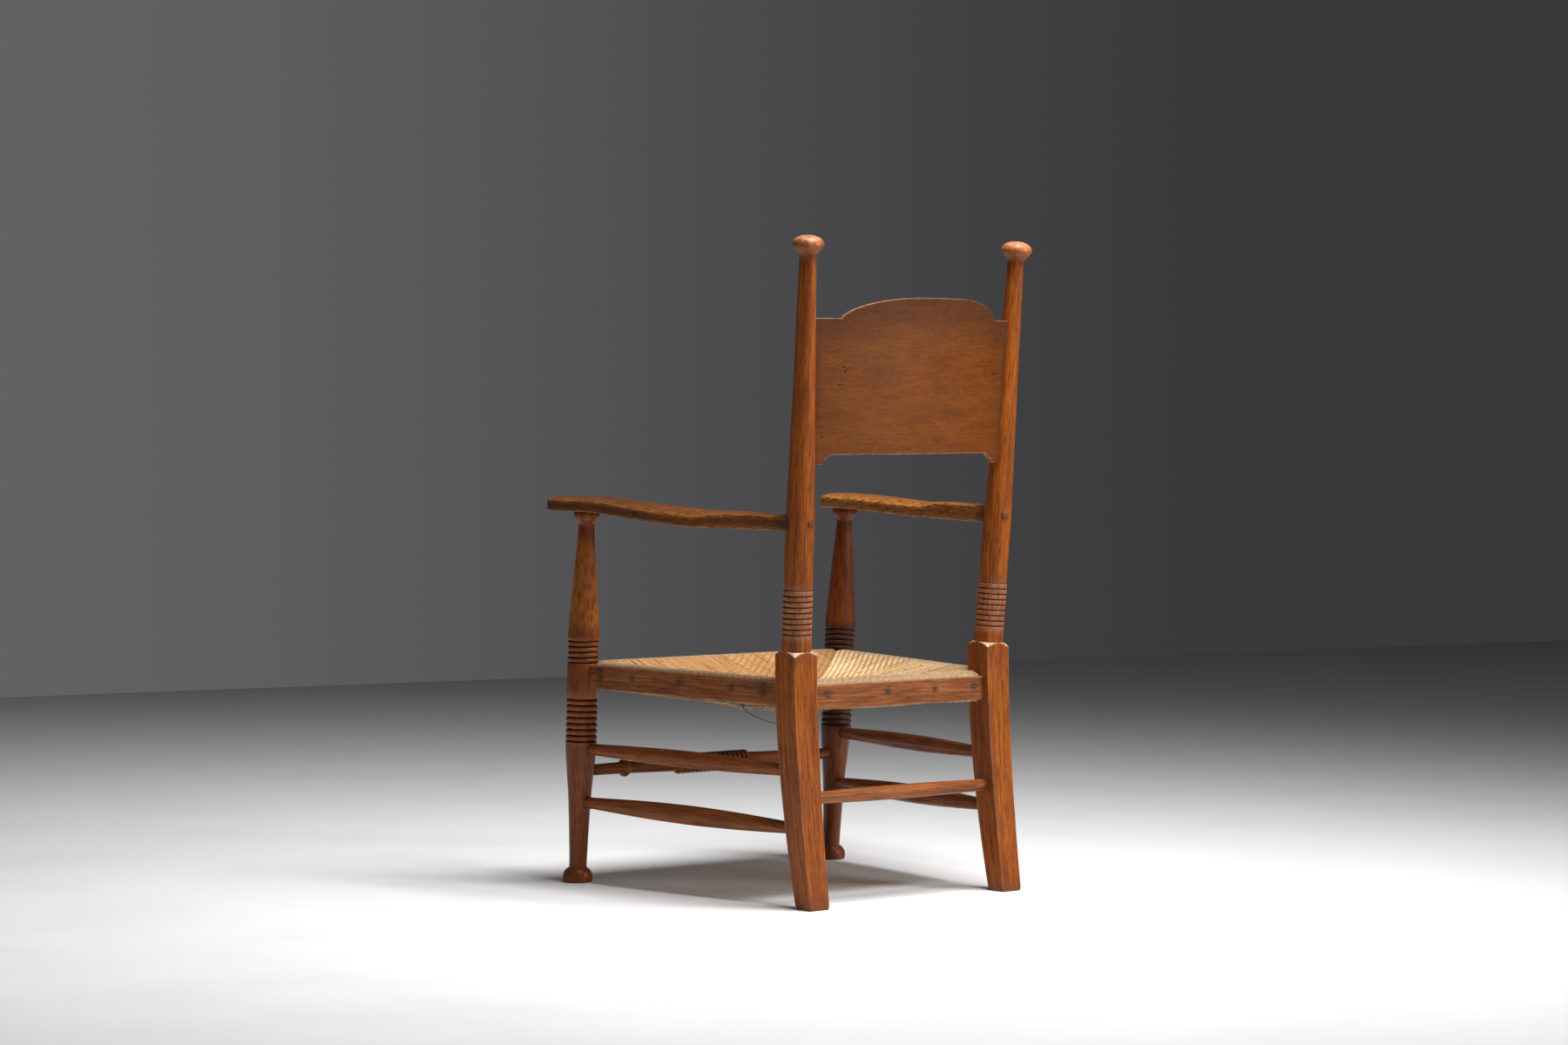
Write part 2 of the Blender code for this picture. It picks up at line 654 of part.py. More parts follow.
def arm_section(side, y, outer_half_width, edge, crown, narrowing=1.0):
    """Cross section: square edges, crowned top; the outer edge is shaped and dips the more."""
    start = arm_rear_height(side)
    rise = arm_front_height(side) - start
    curved = blend(ARM_RISE_START_Y, ARM_RISE_END_Y, y)
    rear_y = rear_axis(side, start).y
    straight = min(1.0, max(0.0, (rear_y - y) / (rear_y - ARM_RISE_END_Y)))
    low = start + rise * curved
    bend = rise * (straight - curved)
    outer_straightness = ARM_RIGHT_OUTER_STRAIGHTNESS if side < 0 else 0.0
    inner = arm_inner_edge(side, y)
    outer = arm_centre(side, y) + side * outer_half_width
    centre = (inner + outer) / 2
    half_width = abs(outer - inner) / 2 * narrowing
    points = [(-1.0, 0.0), (1.0, 0.0), (1.0, edge)]
    for share in (0.78, 0.42, 0.0, -0.42, -0.78):
        points.append((share, edge + crown * (1.0 - abs(share) ** ARM_CROWN_POWER)))
    points.append((-1.0, edge))
    section = []
    for share, height in points:
        outward = (1.0 + side * share) / 2
        straightness = ARM_INNER_STRAIGHTNESS * (1.0 - outward) + outer_straightness * outward
        section.append(Vector((centre + share * half_width, y, low + height + bend * straightness)))
    return section


def arm_mesh(name, side):
    rear_y = rear_axis(side, arm_rear_height(side)).y
    tip_y = front_axis(side, front_post_length(side)).y - ARM_OVERHANG
    round_y = tip_y + ARM_FRONT_HALF_WIDTH
    thicker = ARM_RIGHT_STEM_THICKER if side < 0 else 0.0
    stem_edge = ARM_STEM_EDGE + thicker
    rings = [
        arm_section(side, y, ARM_STEM_HALF_WIDTH, stem_edge, ARM_THICKNESS - ARM_STEM_EDGE)
        for y in (rear_y, ARM_STEP_Y + ARM_STEP / 2)
    ]
    for i in range(ARM_FLARE_STEPS + 1):
        y = ARM_STEP_Y + (round_y - ARM_STEP_Y) * i / ARM_FLARE_STEPS
        share = blend(ARM_STEP_Y, ARM_FLARE_END_Y, y)
        half = ARM_STEM_HALF_WIDTH + ARM_STEP
        half += (ARM_FRONT_HALF_WIDTH - half) * share
        fall = blend(ARM_STEP_Y, ARM_EDGE_FALL_END_Y, y)
        edge = stem_edge + (ARM_FRONT_EDGE - stem_edge) * fall
        crown = ARM_THICKNESS + thicker * (1.0 - fall) - edge
        rings.append(arm_section(side, y, half, edge, crown))
    for degrees in (22, 42, 60, 75, 86):
        angle = math.radians(degrees)
        y = round_y - ARM_FRONT_HALF_WIDTH * math.sin(angle)
        narrowing = math.cos(angle)
        crown = (ARM_THICKNESS - ARM_FRONT_EDGE) * narrowing
        rings.append(arm_section(side, y, ARM_FRONT_HALF_WIDTH, ARM_FRONT_EDGE, crown, narrowing))
    return loft(name, rings)


def make_arm(word, side, front_post, rear_post, chair):
    name = f"arm_{word}"
    arm = add_object(name, arm_mesh(name, side), chair, "oak_arms")

    middle = arm_rear_height(side) + ARM_THICKNESS / 2
    axis = rear_axis(side, middle)
    radius = REAR_WAIST_RADIUS + FIT
    cope = turned("arm_cope", [(radius, -ARM_THICKNESS * 2), (radius, ARM_THICKNESS * 2)],
                  POST_SEGMENTS * 2)
    direction = lean(side, REAR_SPLAY, REAR_RAKE)
    boolean(arm, add_cutter(f"{name}_cope", cope, chair, frame_along(axis, direction)))

    ahead = Vector((arm_centre(side, axis.y - 1.0) - axis.x, -1.0, 0.0)).normalized()
    joint = frame_along(axis, ahead)
    near, far = ARM_REAR_TENON_FROM_AXIS, REAR_WAIST_RADIUS * 1.5
    tenon = turned("arm_tenon", [(ARM_REAR_TENON_RADIUS, near), (ARM_REAR_TENON_RADIUS, far)],
                   ARM_JOINT_SEGMENTS)
    boolean(arm, add_cutter(f"{name}_tenon", tenon, chair, joint), "UNION")
    socket_radius = ARM_REAR_TENON_RADIUS + FIT
    socket = turned("arm_socket", [(socket_radius, near - FIT), (socket_radius, far)],
                    ARM_JOINT_SEGMENTS)
    boolean(rear_post, add_cutter(f"{name}_socket", socket, chair, joint))

    plug_face = REAR_WAIST_RADIUS
    head = plug_face - ARM_PLUG_DEPTH - FIT
    rim = head - ARM_SCREW_HEAD_RIM
    neck = head - ARM_SCREW_HEAD_HEIGHT
    screw_profile = [
        (ARM_SCREW_HEAD_RADIUS, -head),
        (ARM_SCREW_HEAD_RADIUS, -rim),
        (ARM_SCREW_RADIUS, -neck),
        (ARM_SCREW_RADIUS, ARM_SCREW_REACH - ARM_SCREW_POINT),
        (ARM_SCREW_RADIUS / 3, ARM_SCREW_REACH),
    ]
    screw = turned("arm_screw", screw_profile, ARM_JOINT_SEGMENTS)
    add_object(f"arm_screw_{word}", screw, chair, "iron", joint)
    shank = ARM_SCREW_RADIUS + FIT
    hole_profile = [
        (ARM_SCREW_HEAD_RADIUS + FIT, -head - ARM_PLUG_DEPTH / 2),
        (ARM_SCREW_HEAD_RADIUS + FIT, -rim + FIT),
        (shank, -neck + FIT),
        (shank, ARM_SCREW_REACH + FIT),
    ]
    screw_hole = add_cutter(f"{name}_screw_hole", turned("arm_screw_hole", hole_profile,
                                                         ARM_JOINT_SEGMENTS), chair, joint)
    boolean(arm, screw_hole)
    boolean(rear_post, screw_hole)

    plug_profile = [
        (ARM_PLUG_RADIUS, -plug_face + ARM_PLUG_DEPTH),
        (ARM_PLUG_RADIUS, -plug_face),
        (ARM_PLUG_RADIUS - ARM_PLUG_CROWN, -plug_face - ARM_PLUG_CROWN),
    ]
    plug = turned("arm_plug", list(reversed(plug_profile)), ARM_JOINT_SEGMENTS)
    add_object(f"arm_plug_{word}", plug, chair, "oak_arms", joint)
    bore = ARM_PLUG_RADIUS + FIT
    bore_profile = [(bore, -plug_face - ARM_PLUG_DEPTH), (bore, -plug_face + ARM_PLUG_DEPTH + FIT)]
    boolean(rear_post, add_cutter(f"{name}_plug_bore", turned("arm_plug_bore", bore_profile,
                                                              ARM_JOINT_SEGMENTS), chair, joint))

    level = Vector((0.0, 0.0, 1.0))
    top = front_axis(side, 0.0) + lean(side, FRONT_SPLAY, FRONT_RAKE) * front_post_length(side)
    hole_radius = ARM_TENON_RADIUS + FIT
    lower = top - lean(side, FRONT_SPLAY, FRONT_RAKE) * ARM_TENON_HEIGHT
    upper = top + lean(side, FRONT_SPLAY, FRONT_RAKE) * (ARM_TENON_HEIGHT + FIT)
    hole = loft("arm_post_hole", [circle_ring(lower, level, hole_radius),
                                  circle_ring(upper, level, hole_radius)])
    boolean(arm, add_cutter(f"{name}_post_hole", hole, chair, Matrix()))
    return arm


class SeatSide:
    """One side of the seat in plan: the strip's outer face line and the heights along it."""

    def __init__(self, start, end, start_height, end_height, centre):
        self.start = start
        self.along = (end - start).normalized()
        self.inward = Vector((-self.along.y, self.along.x))
        if self.inward.dot(centre - start) < 0.0:
            self.inward = -self.inward
        self.length = (end - start).length
        self.start_height = start_height
        self.end_height = end_height

    def rail_height(self, distance):
        share = distance / self.length
        return self.start_height + (self.end_height - self.start_height) * share

    def point(self, distance, depth, height):
        flat = self.start + self.along * distance + self.inward * depth
        return Vector((flat.x, flat.y, height))

    def distance_of(self, flat):
        return (flat - self.start).dot(self.along)


def cross_lines(point_a, along_a, point_b, along_b):
    """Where two plan lines meet."""
    determinant = along_a.x * along_b.y - along_a.y * along_b.x
    between = point_b - point_a
    share = (between.x * along_b.y - between.y * along_b.x) / determinant
    return point_a + along_a * share


def plan_corner(side_a, depth_a, side_b, depth_b):
    return cross_lines(side_a.start + side_a.inward * depth_a, side_a.along,
                       side_b.start + side_b.inward * depth_b, side_b.along)


def seat_sides():
    """Outer face lines of the four edge strips, numbered front, right, rear, left."""
    drum = front_axis(1, FRONT_RAIL_HEIGHT)
    front_y = drum.y - STRIP_OUTBOARD_FRONT
    front_x = drum.x + STRIP_OUTBOARD_FRONT
    rear_x = REAR_BLOCK_X + REAR_BLOCK_SIDE / 2 - STRIP_SETBACK_REAR
    rear_y = REAR_BLOCK_Y + REAR_BLOCK_SIDE / 2 - STRIP_SETBACK_REAR
    slope = (rear_x - front_x) / (REAR_BLOCK_Y - drum.y)
    far_x = front_x + slope * (front_y - drum.y)
    near_x = front_x + slope * (rear_y - drum.y)
    centre = Vector((0.0, 0.0))
    corners = {
        "front_left": Vector((far_x, front_y)),
        "front_right": Vector((-far_x, front_y)),
        "rear_left": Vector((near_x, rear_y)),
        "rear_right": Vector((-near_x, rear_y)),
    }
    high, low, back = FRONT_RAIL_HEIGHT, SIDE_RAIL_REAR_HEIGHT, REAR_RAIL_HEIGHT
    return {
        "front": SeatSide(corners["front_left"], corners["front_right"], high, high, centre),
        "right": SeatSide(corners["front_right"], corners["rear_right"], high, low, centre),
        "rear": SeatSide(corners["rear_right"], corners["rear_left"], back, back, centre),
        "left": SeatSide(corners["front_left"], corners["rear_left"], high, low, centre),
    }


RAIL_DEPTH = STRIP_THICKNESS + FIT + RUSH_SIDE_COVER + RAIL_THICKNESS / 2


def span_between_posts(word, seat_side):
    """Distances along a side at which the posts' faces stop a straight piece."""
    if word in ("left", "right"):
        side = SIDES[word]
        front = front_axis(side, FRONT_RAIL_HEIGHT).to_2d()
        face_y = REAR_BLOCK_Y - REAR_BLOCK_SIDE / 2
        low = seat_side.distance_of(front) + DRUM_RADIUS + FIT
        level = Vector((1.0, 0.0))
        face = cross_lines(seat_side.start, seat_side.along, Vector((0.0, face_y)), level)
        return low, seat_side.distance_of(face) - FIT - STRIP_THICKNESS * abs(seat_side.along.x)
    if word == "front":
        left = front_axis(1, FRONT_RAIL_HEIGHT).to_2d()
        right = front_axis(-1, FRONT_RAIL_HEIGHT).to_2d()
        reach = DRUM_RADIUS + FIT
        return seat_side.distance_of(left) + reach, seat_side.distance_of(right) - reach
    face_x = REAR_BLOCK_X - REAR_BLOCK_SIDE / 2 - FIT
    first = seat_side.distance_of(Vector((-face_x, REAR_BLOCK_Y)))
    second = seat_side.distance_of(Vector((face_x, REAR_BLOCK_Y)))
    return first, second


def bar_ring(seat_side, distance, depth, half_thickness, half_width, lift):
    height = seat_side.rail_height(distance) + lift
    return [
        seat_side.point(distance, depth - half_thickness, height - half_width),
        seat_side.point(distance, depth + half_thickness, height - half_width),
        seat_side.point(distance, depth + half_thickness, height + half_width),
        seat_side.point(distance, depth - half_thickness, height + half_width),
    ]


def rail_rings(word, seat_side, grow):
    """Rail with a tenon on each end: (rings of the body, rings of the two tenons)."""
    low, high = span_between_posts(word, seat_side)
    low, high = low + RAIL_SHOULDER_GAP, high - RAIL_SHOULDER_GAP
    body = (RAIL_THICKNESS / 2 + grow, RAIL_WIDTH / 2 + grow, 0.0)
    lifts = {
        "front": (RAIL_TENON_STAGGER, RAIL_TENON_STAGGER),
        "rear": (-RAIL_TENON_STAGGER, -RAIL_TENON_STAGGER),
        "left": (-RAIL_TENON_STAGGER, RAIL_TENON_STAGGER),
        "right": (-RAIL_TENON_STAGGER, RAIL_TENON_STAGGER),
    }[word]
    half_thickness = RAIL_TENON_THICKNESS / 2 + grow
    half_width = RAIL_TENON_WIDTH / 2 + grow
    reach = RAIL_TENON_LENGTH + grow
    rings = []
    for distance, shape in (
        (low - reach, (half_thickness, half_width, lifts[0])),
        (low, (half_thickness, half_width, lifts[0])),
        (low, body),
        (high, body),
        (high, (half_thickness, half_width, lifts[1])),
        (high + reach, (half_thickness, half_width, lifts[1])),
    ):
        rings.append(bar_ring(seat_side, distance, RAIL_DEPTH, *shape))
    return rings


def make_rails(sides, posts_of, chair):
    rails = {}
    for word, seat_side in sides.items():
        name = f"seat_rail_{word}"
        rails[word] = add_object(
            name, loft(name, rail_rings(word, seat_side, 0.0)), chair, "rail_wood")
        rings = rail_rings(word, seat_side, FIT)
        ends = (
            [rings[0], [q + (q - p).normalized() * MORTISE_OVERRUN
                        for p, q in zip(rings[0], rings[1])]],
            [rings[-1], [q + (q - p).normalized() * MORTISE_OVERRUN
                         for p, q in zip(rings[-1], rings[-2])]],
        )
        for end, post in zip(ends, posts_of[word]):
            mesh = loft("rail_mortise", end)
            boolean(post, add_cutter(f"{name}_mortise", mesh, chair, Matrix()))
    return rails


def rush_outline(sides, depth):
    """Plan corners of the rush at a depth in from the strips' inner faces."""
    inset = STRIP_THICKNESS + FIT + depth
    order = ("front", "right", "rear", "left")
    return [plan_corner(sides[a], inset, sides[b], inset)
            for a, b in zip(order, order[1:] + order[:1])]


def rush_heights(sides):
    """Rail heights at the four plan corners, both sides of each averaged."""
    order = ("front", "right", "rear", "left")
    heights = []
    for a, b in zip(order, order[1:] + order[:1]):
        corner = plan_corner(sides[a], RAIL_DEPTH, sides[b], RAIL_DEPTH)
        first = sides[a].rail_height(sides[a].distance_of(corner))
        second = sides[b].rail_height(sides[b].distance_of(corner))
        heights.append((first + second) / 2)
    return heights


def rush_loop(sides, depth, lift, middle_height, share):
    """One closed loop: corners in order, each side cut into steps, drawn in to the middle."""
    corners = rush_outline(sides, depth)
    heights = rush_heights(sides)
    middle = sum(rush_outline(sides, 0.0), Vector((0.0, 0.0))) / 4
    ends = ("front", "rear", "rear", "front")
    steepness = [RUSH_DISH_STEEPNESS[end] for end in ends]
    loop = []
    for i in range(4):
        j = (i + 1) % 4
        for step in range(RUSH_EDGE_STEPS):
            part = step / RUSH_EDGE_STEPS
            flat = corners[i].lerp(corners[j], part).lerp(middle, share)
            height = heights[i] + (heights[j] - heights[i]) * part + lift
            power = steepness[i] + (steepness[j] - steepness[i]) * part
            fall = 1.0 - (1.0 - share) ** power
            loop.append(Vector((flat.x, flat.y, height + (middle_height - height) * fall)))
    return loop


def rush_mesh(name, sides):
    """Rush wound over the rails: rolled edges, dished top and slack belly, one closed skin."""
    top = RAIL_WIDTH / 2 + RUSH_TOP_COVER
    bottom = -RAIL_WIDTH / 2 - RUSH_BOTTOM_COVER
    rolls = []
    for degrees in (0, 45, 90):
        angle = math.radians(degrees)
        rolls.append((RUSH_EDGE_ROUND * (1.0 - math.cos(angle)),
                      RUSH_EDGE_ROUND * (1.0 - math.sin(angle))))
    shares = [(i + 1) / (RUSH_DISH_STEPS + 0.2) for i in range(RUSH_DISH_STEPS)]
    inner = RUSH_EDGE_ROUND * 2.0
    belly, dish = RUSH_BELLY_HEIGHT, RUSH_DISH_HEIGHT
    rings = [rush_loop(sides, inner, bottom, belly, share) for share in reversed(shares)]
    rings += [rush_loop(sides, depth, bottom + rise, belly, 0.0) for depth, rise in reversed(rolls)]
    rings += [rush_loop(sides, depth, top - drop, dish, 0.0) for depth, drop in rolls]
    rings += [rush_loop(sides, inner, top, dish, share) for share in shares]
    return loft(name, rings, smooth_angle=60.0)


def front_copes(chair):
    """Cutters with the posts' drum shape, for whatever butts on the front posts."""
    copes = {}
    for word, side in SIDES.items():
        direction = lean(side, FRONT_SPLAY, FRONT_RAKE)
        rings = [circle_ring(front_axis(side, height), direction, DRUM_RADIUS + FIT)
                 for height in (FRONT_RAIL_HEIGHT - STRIP_WIDTH, FRONT_RAIL_HEIGHT + STRIP_WIDTH)]
        mesh = loft("front_cope", rings)
        copes[word] = add_cutter(f"front_cope_{word}", mesh, chair, Matrix())
    return copes


def make_rush(sides, rails, copes, chair):
    rush = add_object("rush_seat", rush_mesh("rush_seat", sides), chair, "rush")
    for word, seat_side in sides.items():
        low, high = span_between_posts(word, seat_side)
        half_thickness, half_width = RAIL_THICKNESS / 2 + FIT, RAIL_WIDTH / 2 + FIT
        rings = [bar_ring(seat_side, distance, RAIL_DEPTH, half_thickness, half_width, 0.0)
                 for distance in (low - RAIL_THICKNESS, high + RAIL_THICKNESS)]
        boolean(rush, add_cutter(f"rush_tunnel_{word}", loft("rush_tunnel", rings), chair, Matrix()))
    for word, side in SIDES.items():
        boolean(rush, copes[word])
        half = REAR_BLOCK_SIDE / 2 + FIT
        below = REAR_RAIL_HEIGHT - REAR_BLOCK_SIDE
        low = Vector((side * REAR_BLOCK_X - half, REAR_BLOCK_Y - half, below))
        high = Vector((side * REAR_BLOCK_X + half, REAR_BLOCK_Y + half, REAR_BLOCK_TOP))
        notch = box_mesh("rush_rear_notch", low, high)
        boolean(rush, add_cutter(f"rush_rear_notch_{word}", notch, chair, Matrix()))
    return rush


def nail_mesh(name, radius, head_radius, length, head_height):
    profile = [
        (radius / 2, -length),
        (radius, -length + radius * 2),
        (radius, 0.0),
        (head_radius, 0.0),
        (head_radius - head_height, head_height),
    ]
    return turned(name, profile, NAIL_SEGMENTS)


def hole_mesh(name, radius, length):
    return turned(name, [(radius, -length), (radius, length / 5)], NAIL_SEGMENTS)


def strip_nail_places(word, low, high):
    """(distance along the strip, height above its middle) of each nail."""
    if word in ("front", "rear"):
        return [(low + (high - low) * share, NAIL_LIFT) for share in CROSS_NAIL_SHARES]
    places = [(low + (high - low) * share, NAIL_LIFT) for share in SIDE_NAIL_SHARES]
    for share in NAIL_PAIR_SHARES:
        places += [(low + (high - low) * share, height) for height in NAIL_PAIR_LIFTS]
    return places


def joined_copies(name, mesh, matrices):
    """One mesh holding a copy of a mesh at each matrix."""
    bm = bmesh.new()
    for matrix in matrices:
        copy = mesh.copy()
        copy.transform(matrix)
        bm.from_mesh(copy)
        bpy.data.meshes.remove(copy)
    return finish_mesh(name, bm)


def make_strips(sides, rails, rush, copes, chair):
    lift = STRIP_ABOVE_RAIL - (STRIP_WIDTH - RAIL_WIDTH) / 2
    depth = STRIP_THICKNESS / 2
    coped = {"front": ("left", "right"), "right": ("right",), "rear": (), "left": ("left",)}
    for word, seat_side in sides.items():
        low, high = span_between_posts(word, seat_side)
        name = f"edge_strip_{word}"
        starts = low - DRUM_RADIUS / 3 if coped[word] else low
        ends = high + DRUM_RADIUS / 3 if word == "front" else high
        rings = [bar_ring(seat_side, distance, depth, depth, STRIP_WIDTH / 2, lift)
                 for distance in (starts, ends)]
        strip = add_object(name, loft(name, rings), chair, "oak_strips")
        for cope in coped[word]:
            boolean(strip, copes[cope])
        matrices = []
        for distance, offset in strip_nail_places(word, low, high):
            height = seat_side.rail_height(distance) + lift + offset
            outward = Vector((-seat_side.inward.x, -seat_side.inward.y, 0.0))
            matrices.append(frame_along(seat_side.point(distance, -FIT, height), outward))
        nail = nail_mesh("nail", NAIL_RADIUS, NAIL_HEAD_RADIUS, NAIL_LENGTH, NAIL_HEAD_HEIGHT)
        for number, matrix in enumerate(matrices, start=1):
            add_object(f"nail_{word}_{number}", nail, chair, "iron", matrix)
        hole = hole_mesh("nail_hole", NAIL_RADIUS + FIT, NAIL_LENGTH + FIT)
        holes = joined_copies(f"nail_holes_{word}", hole, matrices)
        cutter = add_cutter(f"nail_holes_{word}", holes, chair, Matrix())
        for piece in (strip, rush, rails[word]):
            boolean(piece, cutter)


def swelled_profile(length, end_radius, middle_radius):
    """Plain round ends, then a long swell that is thickest in the middle."""
    profile = [(end_radius, 0.0)]
    for i in range(SWELL_STEPS + 1):
        share = i / SWELL_STEPS
        distance = STRETCHER_PLAIN_END + (length - 2 * STRETCHER_PLAIN_END) * share
        radius = end_radius + (middle_radius - end_radius) * math.sin(math.pi * share)
        profile.append((radius, distance))
    profile.append((end_radius, length))
    return profile


def reeded_profile(length, end_radius):
    """Front stretcher: a bead near each end and a run of reeds round the middle."""
    middle = length / 2
    half = [
        (end_radius, -middle),
        (FRONT_STRETCHER_WAIST_RADIUS, -FRONT_BEAD_OFFSET - FRONT_BEAD_HALF_WIDTH),
        (FRONT_BEAD_RADIUS, -FRONT_BEAD_OFFSET - FRONT_BEAD_HALF_WIDTH / 2),
        (FRONT_BEAD_RADIUS, -FRONT_BEAD_OFFSET + FRONT_BEAD_HALF_WIDTH / 2),
        (FRONT_STRETCHER_WAIST_RADIUS, -FRONT_BEAD_OFFSET + FRONT_BEAD_HALF_WIDTH),
        (FRONT_STRETCHER_SHAFT_RADIUS, -FRONT_REEDS_HALF_LENGTH - RING_MARGIN),
    ]
    reeds = []
    pitch = 2 * FRONT_REEDS_HALF_LENGTH / FRONT_REED_COUNT
    for i in range(FRONT_REED_COUNT):
        low = -FRONT_REEDS_HALF_LENGTH + i * pitch
        reeds.append((FRONT_REED_RADIUS - FRONT_REED_DEPTH, low))
        reeds.append((FRONT_REED_RADIUS, low + pitch / 2))
    reeds.append((FRONT_REED_RADIUS - FRONT_REED_DEPTH, FRONT_REEDS_HALF_LENGTH))
    mirrored = [(radius, -height) for radius, height in reversed(half)]
    return [(radius, height + middle) for radius, height in half + reeds + mirrored]


def add_stretcher(name, start, end, profile_of, end_radius, posts, chair):
    """Stretcher from axis to axis, its tips short of both axes, with a socket in each post."""
    direction = (end - start).normalized()
    tip = start + direction * STRETCHER_TIP_TO_AXIS
    length = (end - start).length - 2 * STRETCHER_TIP_TO_AXIS
    matrix = frame_along(tip, direction)
    mesh = turned(name, profile_of(length), STRETCHER_SEGMENTS)
    add_object(name, mesh, chair, "oak_posts", matrix)
    radius = end_radius + FIT
    for post, low, high in (
        (posts[0], -FIT, STRETCHER_PLAIN_END),
        (posts[1], length - STRETCHER_PLAIN_END, length + FIT),
    ):
        mesh = turned("socket", [(radius, low), (radius, high)], STRETCHER_SEGMENTS)
        boolean(post, add_cutter(f"{name}_socket", mesh, chair, matrix))


def make_stretchers(front_posts, rear_posts, chair):
    for word, side in SIDES.items():
        for level, heights, radius in (
            ("upper", SIDE_UPPER_HEIGHTS, SIDE_UPPER_RADIUS),
            ("lower", SIDE_LOWER_HEIGHTS, SIDE_LOWER_RADIUS),
        ):
            add_stretcher(
                f"side_stretcher_{level}_{word}",
                front_axis(side, heights[word][0]),
                rear_leg_centre(side, heights[word][1]),
                lambda length, r=radius: swelled_profile(length, STRETCHER_END_RADIUS, r),
                STRETCHER_END_RADIUS,
                (front_posts[word], rear_posts[word]),
                chair,
            )
    add_stretcher(
        "rear_stretcher",
        rear_leg_centre(1, REAR_STRETCHER_HEIGHT),
        rear_leg_centre(-1, REAR_STRETCHER_HEIGHT),
        lambda length: swelled_profile(length, STRETCHER_END_RADIUS, REAR_STRETCHER_RADIUS),
        STRETCHER_END_RADIUS,
        (rear_posts["left"], rear_posts["right"]),
        chair,
    )
    add_stretcher(
        "front_stretcher",
        front_axis(1, FRONT_STRETCHER_HEIGHT),
        front_axis(-1, FRONT_STRETCHER_HEIGHT),
        lambda length: reeded_profile(length, FRONT_STRETCHER_END_RADIUS),
        FRONT_STRETCHER_END_RADIUS,
        (front_posts["left"], front_posts["right"]),
        chair,
    )


def smooth_route(points, step):
    """Evenly spaced points of a Catmull-Rom curve through the route."""
    route = [Vector(point) for point in points]
    padded = [route[0] * 2 - route[1]] + route + [route[-1] * 2 - route[-2]]
    fine = []
    for a, b, c, d in zip(padded, padded[1:], padded[2:], padded[3:]):
        for i in range(20):
            t = i / 20
            fine.append(0.5 * (2 * b + (c - a) * t + (2 * a - 5 * b + 4 * c - d) * t ** 2
                               + (3 * b - a - 3 * c + d) * t ** 3))
    fine.append(route[-1])
    length = sum((q - p).length for p, q in zip(fine, fine[1:]))
    count = max(2, round(length / step))
    even, walked, target = [fine[0]], 0.0, length / count
    for p, q in zip(fine, fine[1:]):
        run = (q - p).length
        while walked + run >= target * len(even) and len(even) < count:
            even.append(p.lerp(q, (target * len(even) - walked) / run))
        walked += run
    return even + [fine[-1]]


def make_twine(chair):
    curve = bpy.data.curves.new("rush_twine", "CURVE")
    curve.dimensions = "3D"
    curve.bevel_depth = TWINE_RADIUS
    curve.bevel_resolution = 2
    curve.use_fill_caps = True
    points = smooth_route(TWINE_ROUTE, TWINE_POINT_STEP)
    spline = curve.splines.new("POLY")
    spline.points.add(len(points) - 1)
    for place, point in zip(spline.points, points):
        place.co = (*point, 1.0)
    twine = bpy.data.objects.new("rush_twine", curve)
    bpy.context.scene.collection.objects.link(twine)
    twine.parent = chair
    curve.materials.append(make_material("twine"))


def main():
    clear_scene()
    chair = bpy.data.objects.new("chair", None)
    bpy.context.scene.collection.objects.link(chair)
    front_posts = {w: make_front_post(f"front_post_{w}", s, chair) for w, s in SIDES.items()}
    rear_posts = {w: make_rear_post(f"rear_post_{w}", s, chair) for w, s in SIDES.items()}
    make_panel(rear_posts, chair)
    for word, side in SIDES.items():
        make_arm(word, side, front_posts[word], rear_posts[word], chair)
    make_stretchers(front_posts, rear_posts, chair)
    sides = seat_sides()
    posts_of = {
        "front": (front_posts["left"], front_posts["right"]),
        "right": (front_posts["right"], rear_posts["right"]),
        "rear": (rear_posts["right"], rear_posts["left"]),
        "left": (front_posts["left"], rear_posts["left"]),
    }
    rails = make_rails(sides, posts_of, chair)
    copes = front_copes(chair)
    rush = make_rush(sides, rails, copes, chair)
    make_strips(sides, rails, rush, copes, chair)
    make_twine(chair)


main()
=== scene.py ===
"""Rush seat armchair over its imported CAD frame: oak, rush, nails, twine and a plain studio.

Metres, +Z up, origin on the floor. The sitter faces -Y and the sitter's left is +X. Every piece is
meshed in place, so its object stays at the origin.
"""

import math
import random
from collections import namedtuple

import bpy
from bpy.props import FloatProperty, FloatVectorProperty, IntProperty, PointerProperty
from mathutils import Matrix, Vector, noise


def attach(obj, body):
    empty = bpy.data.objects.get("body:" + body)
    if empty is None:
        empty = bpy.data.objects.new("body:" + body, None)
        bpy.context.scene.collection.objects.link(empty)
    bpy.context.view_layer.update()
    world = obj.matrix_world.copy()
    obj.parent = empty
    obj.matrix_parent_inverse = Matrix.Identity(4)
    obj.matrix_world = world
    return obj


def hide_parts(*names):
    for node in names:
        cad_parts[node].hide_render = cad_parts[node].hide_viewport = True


bl_info = {
    "name": "Rush Seat Armchair",
    "version": (1, 0, 0),
    "blender": (4, 5, 0),
    "location": "View3D > Sidebar > Armchair",
    "description": "Dresses the packed armchair with oak, rush, nails and a plain studio",
    "category": "Object",
}

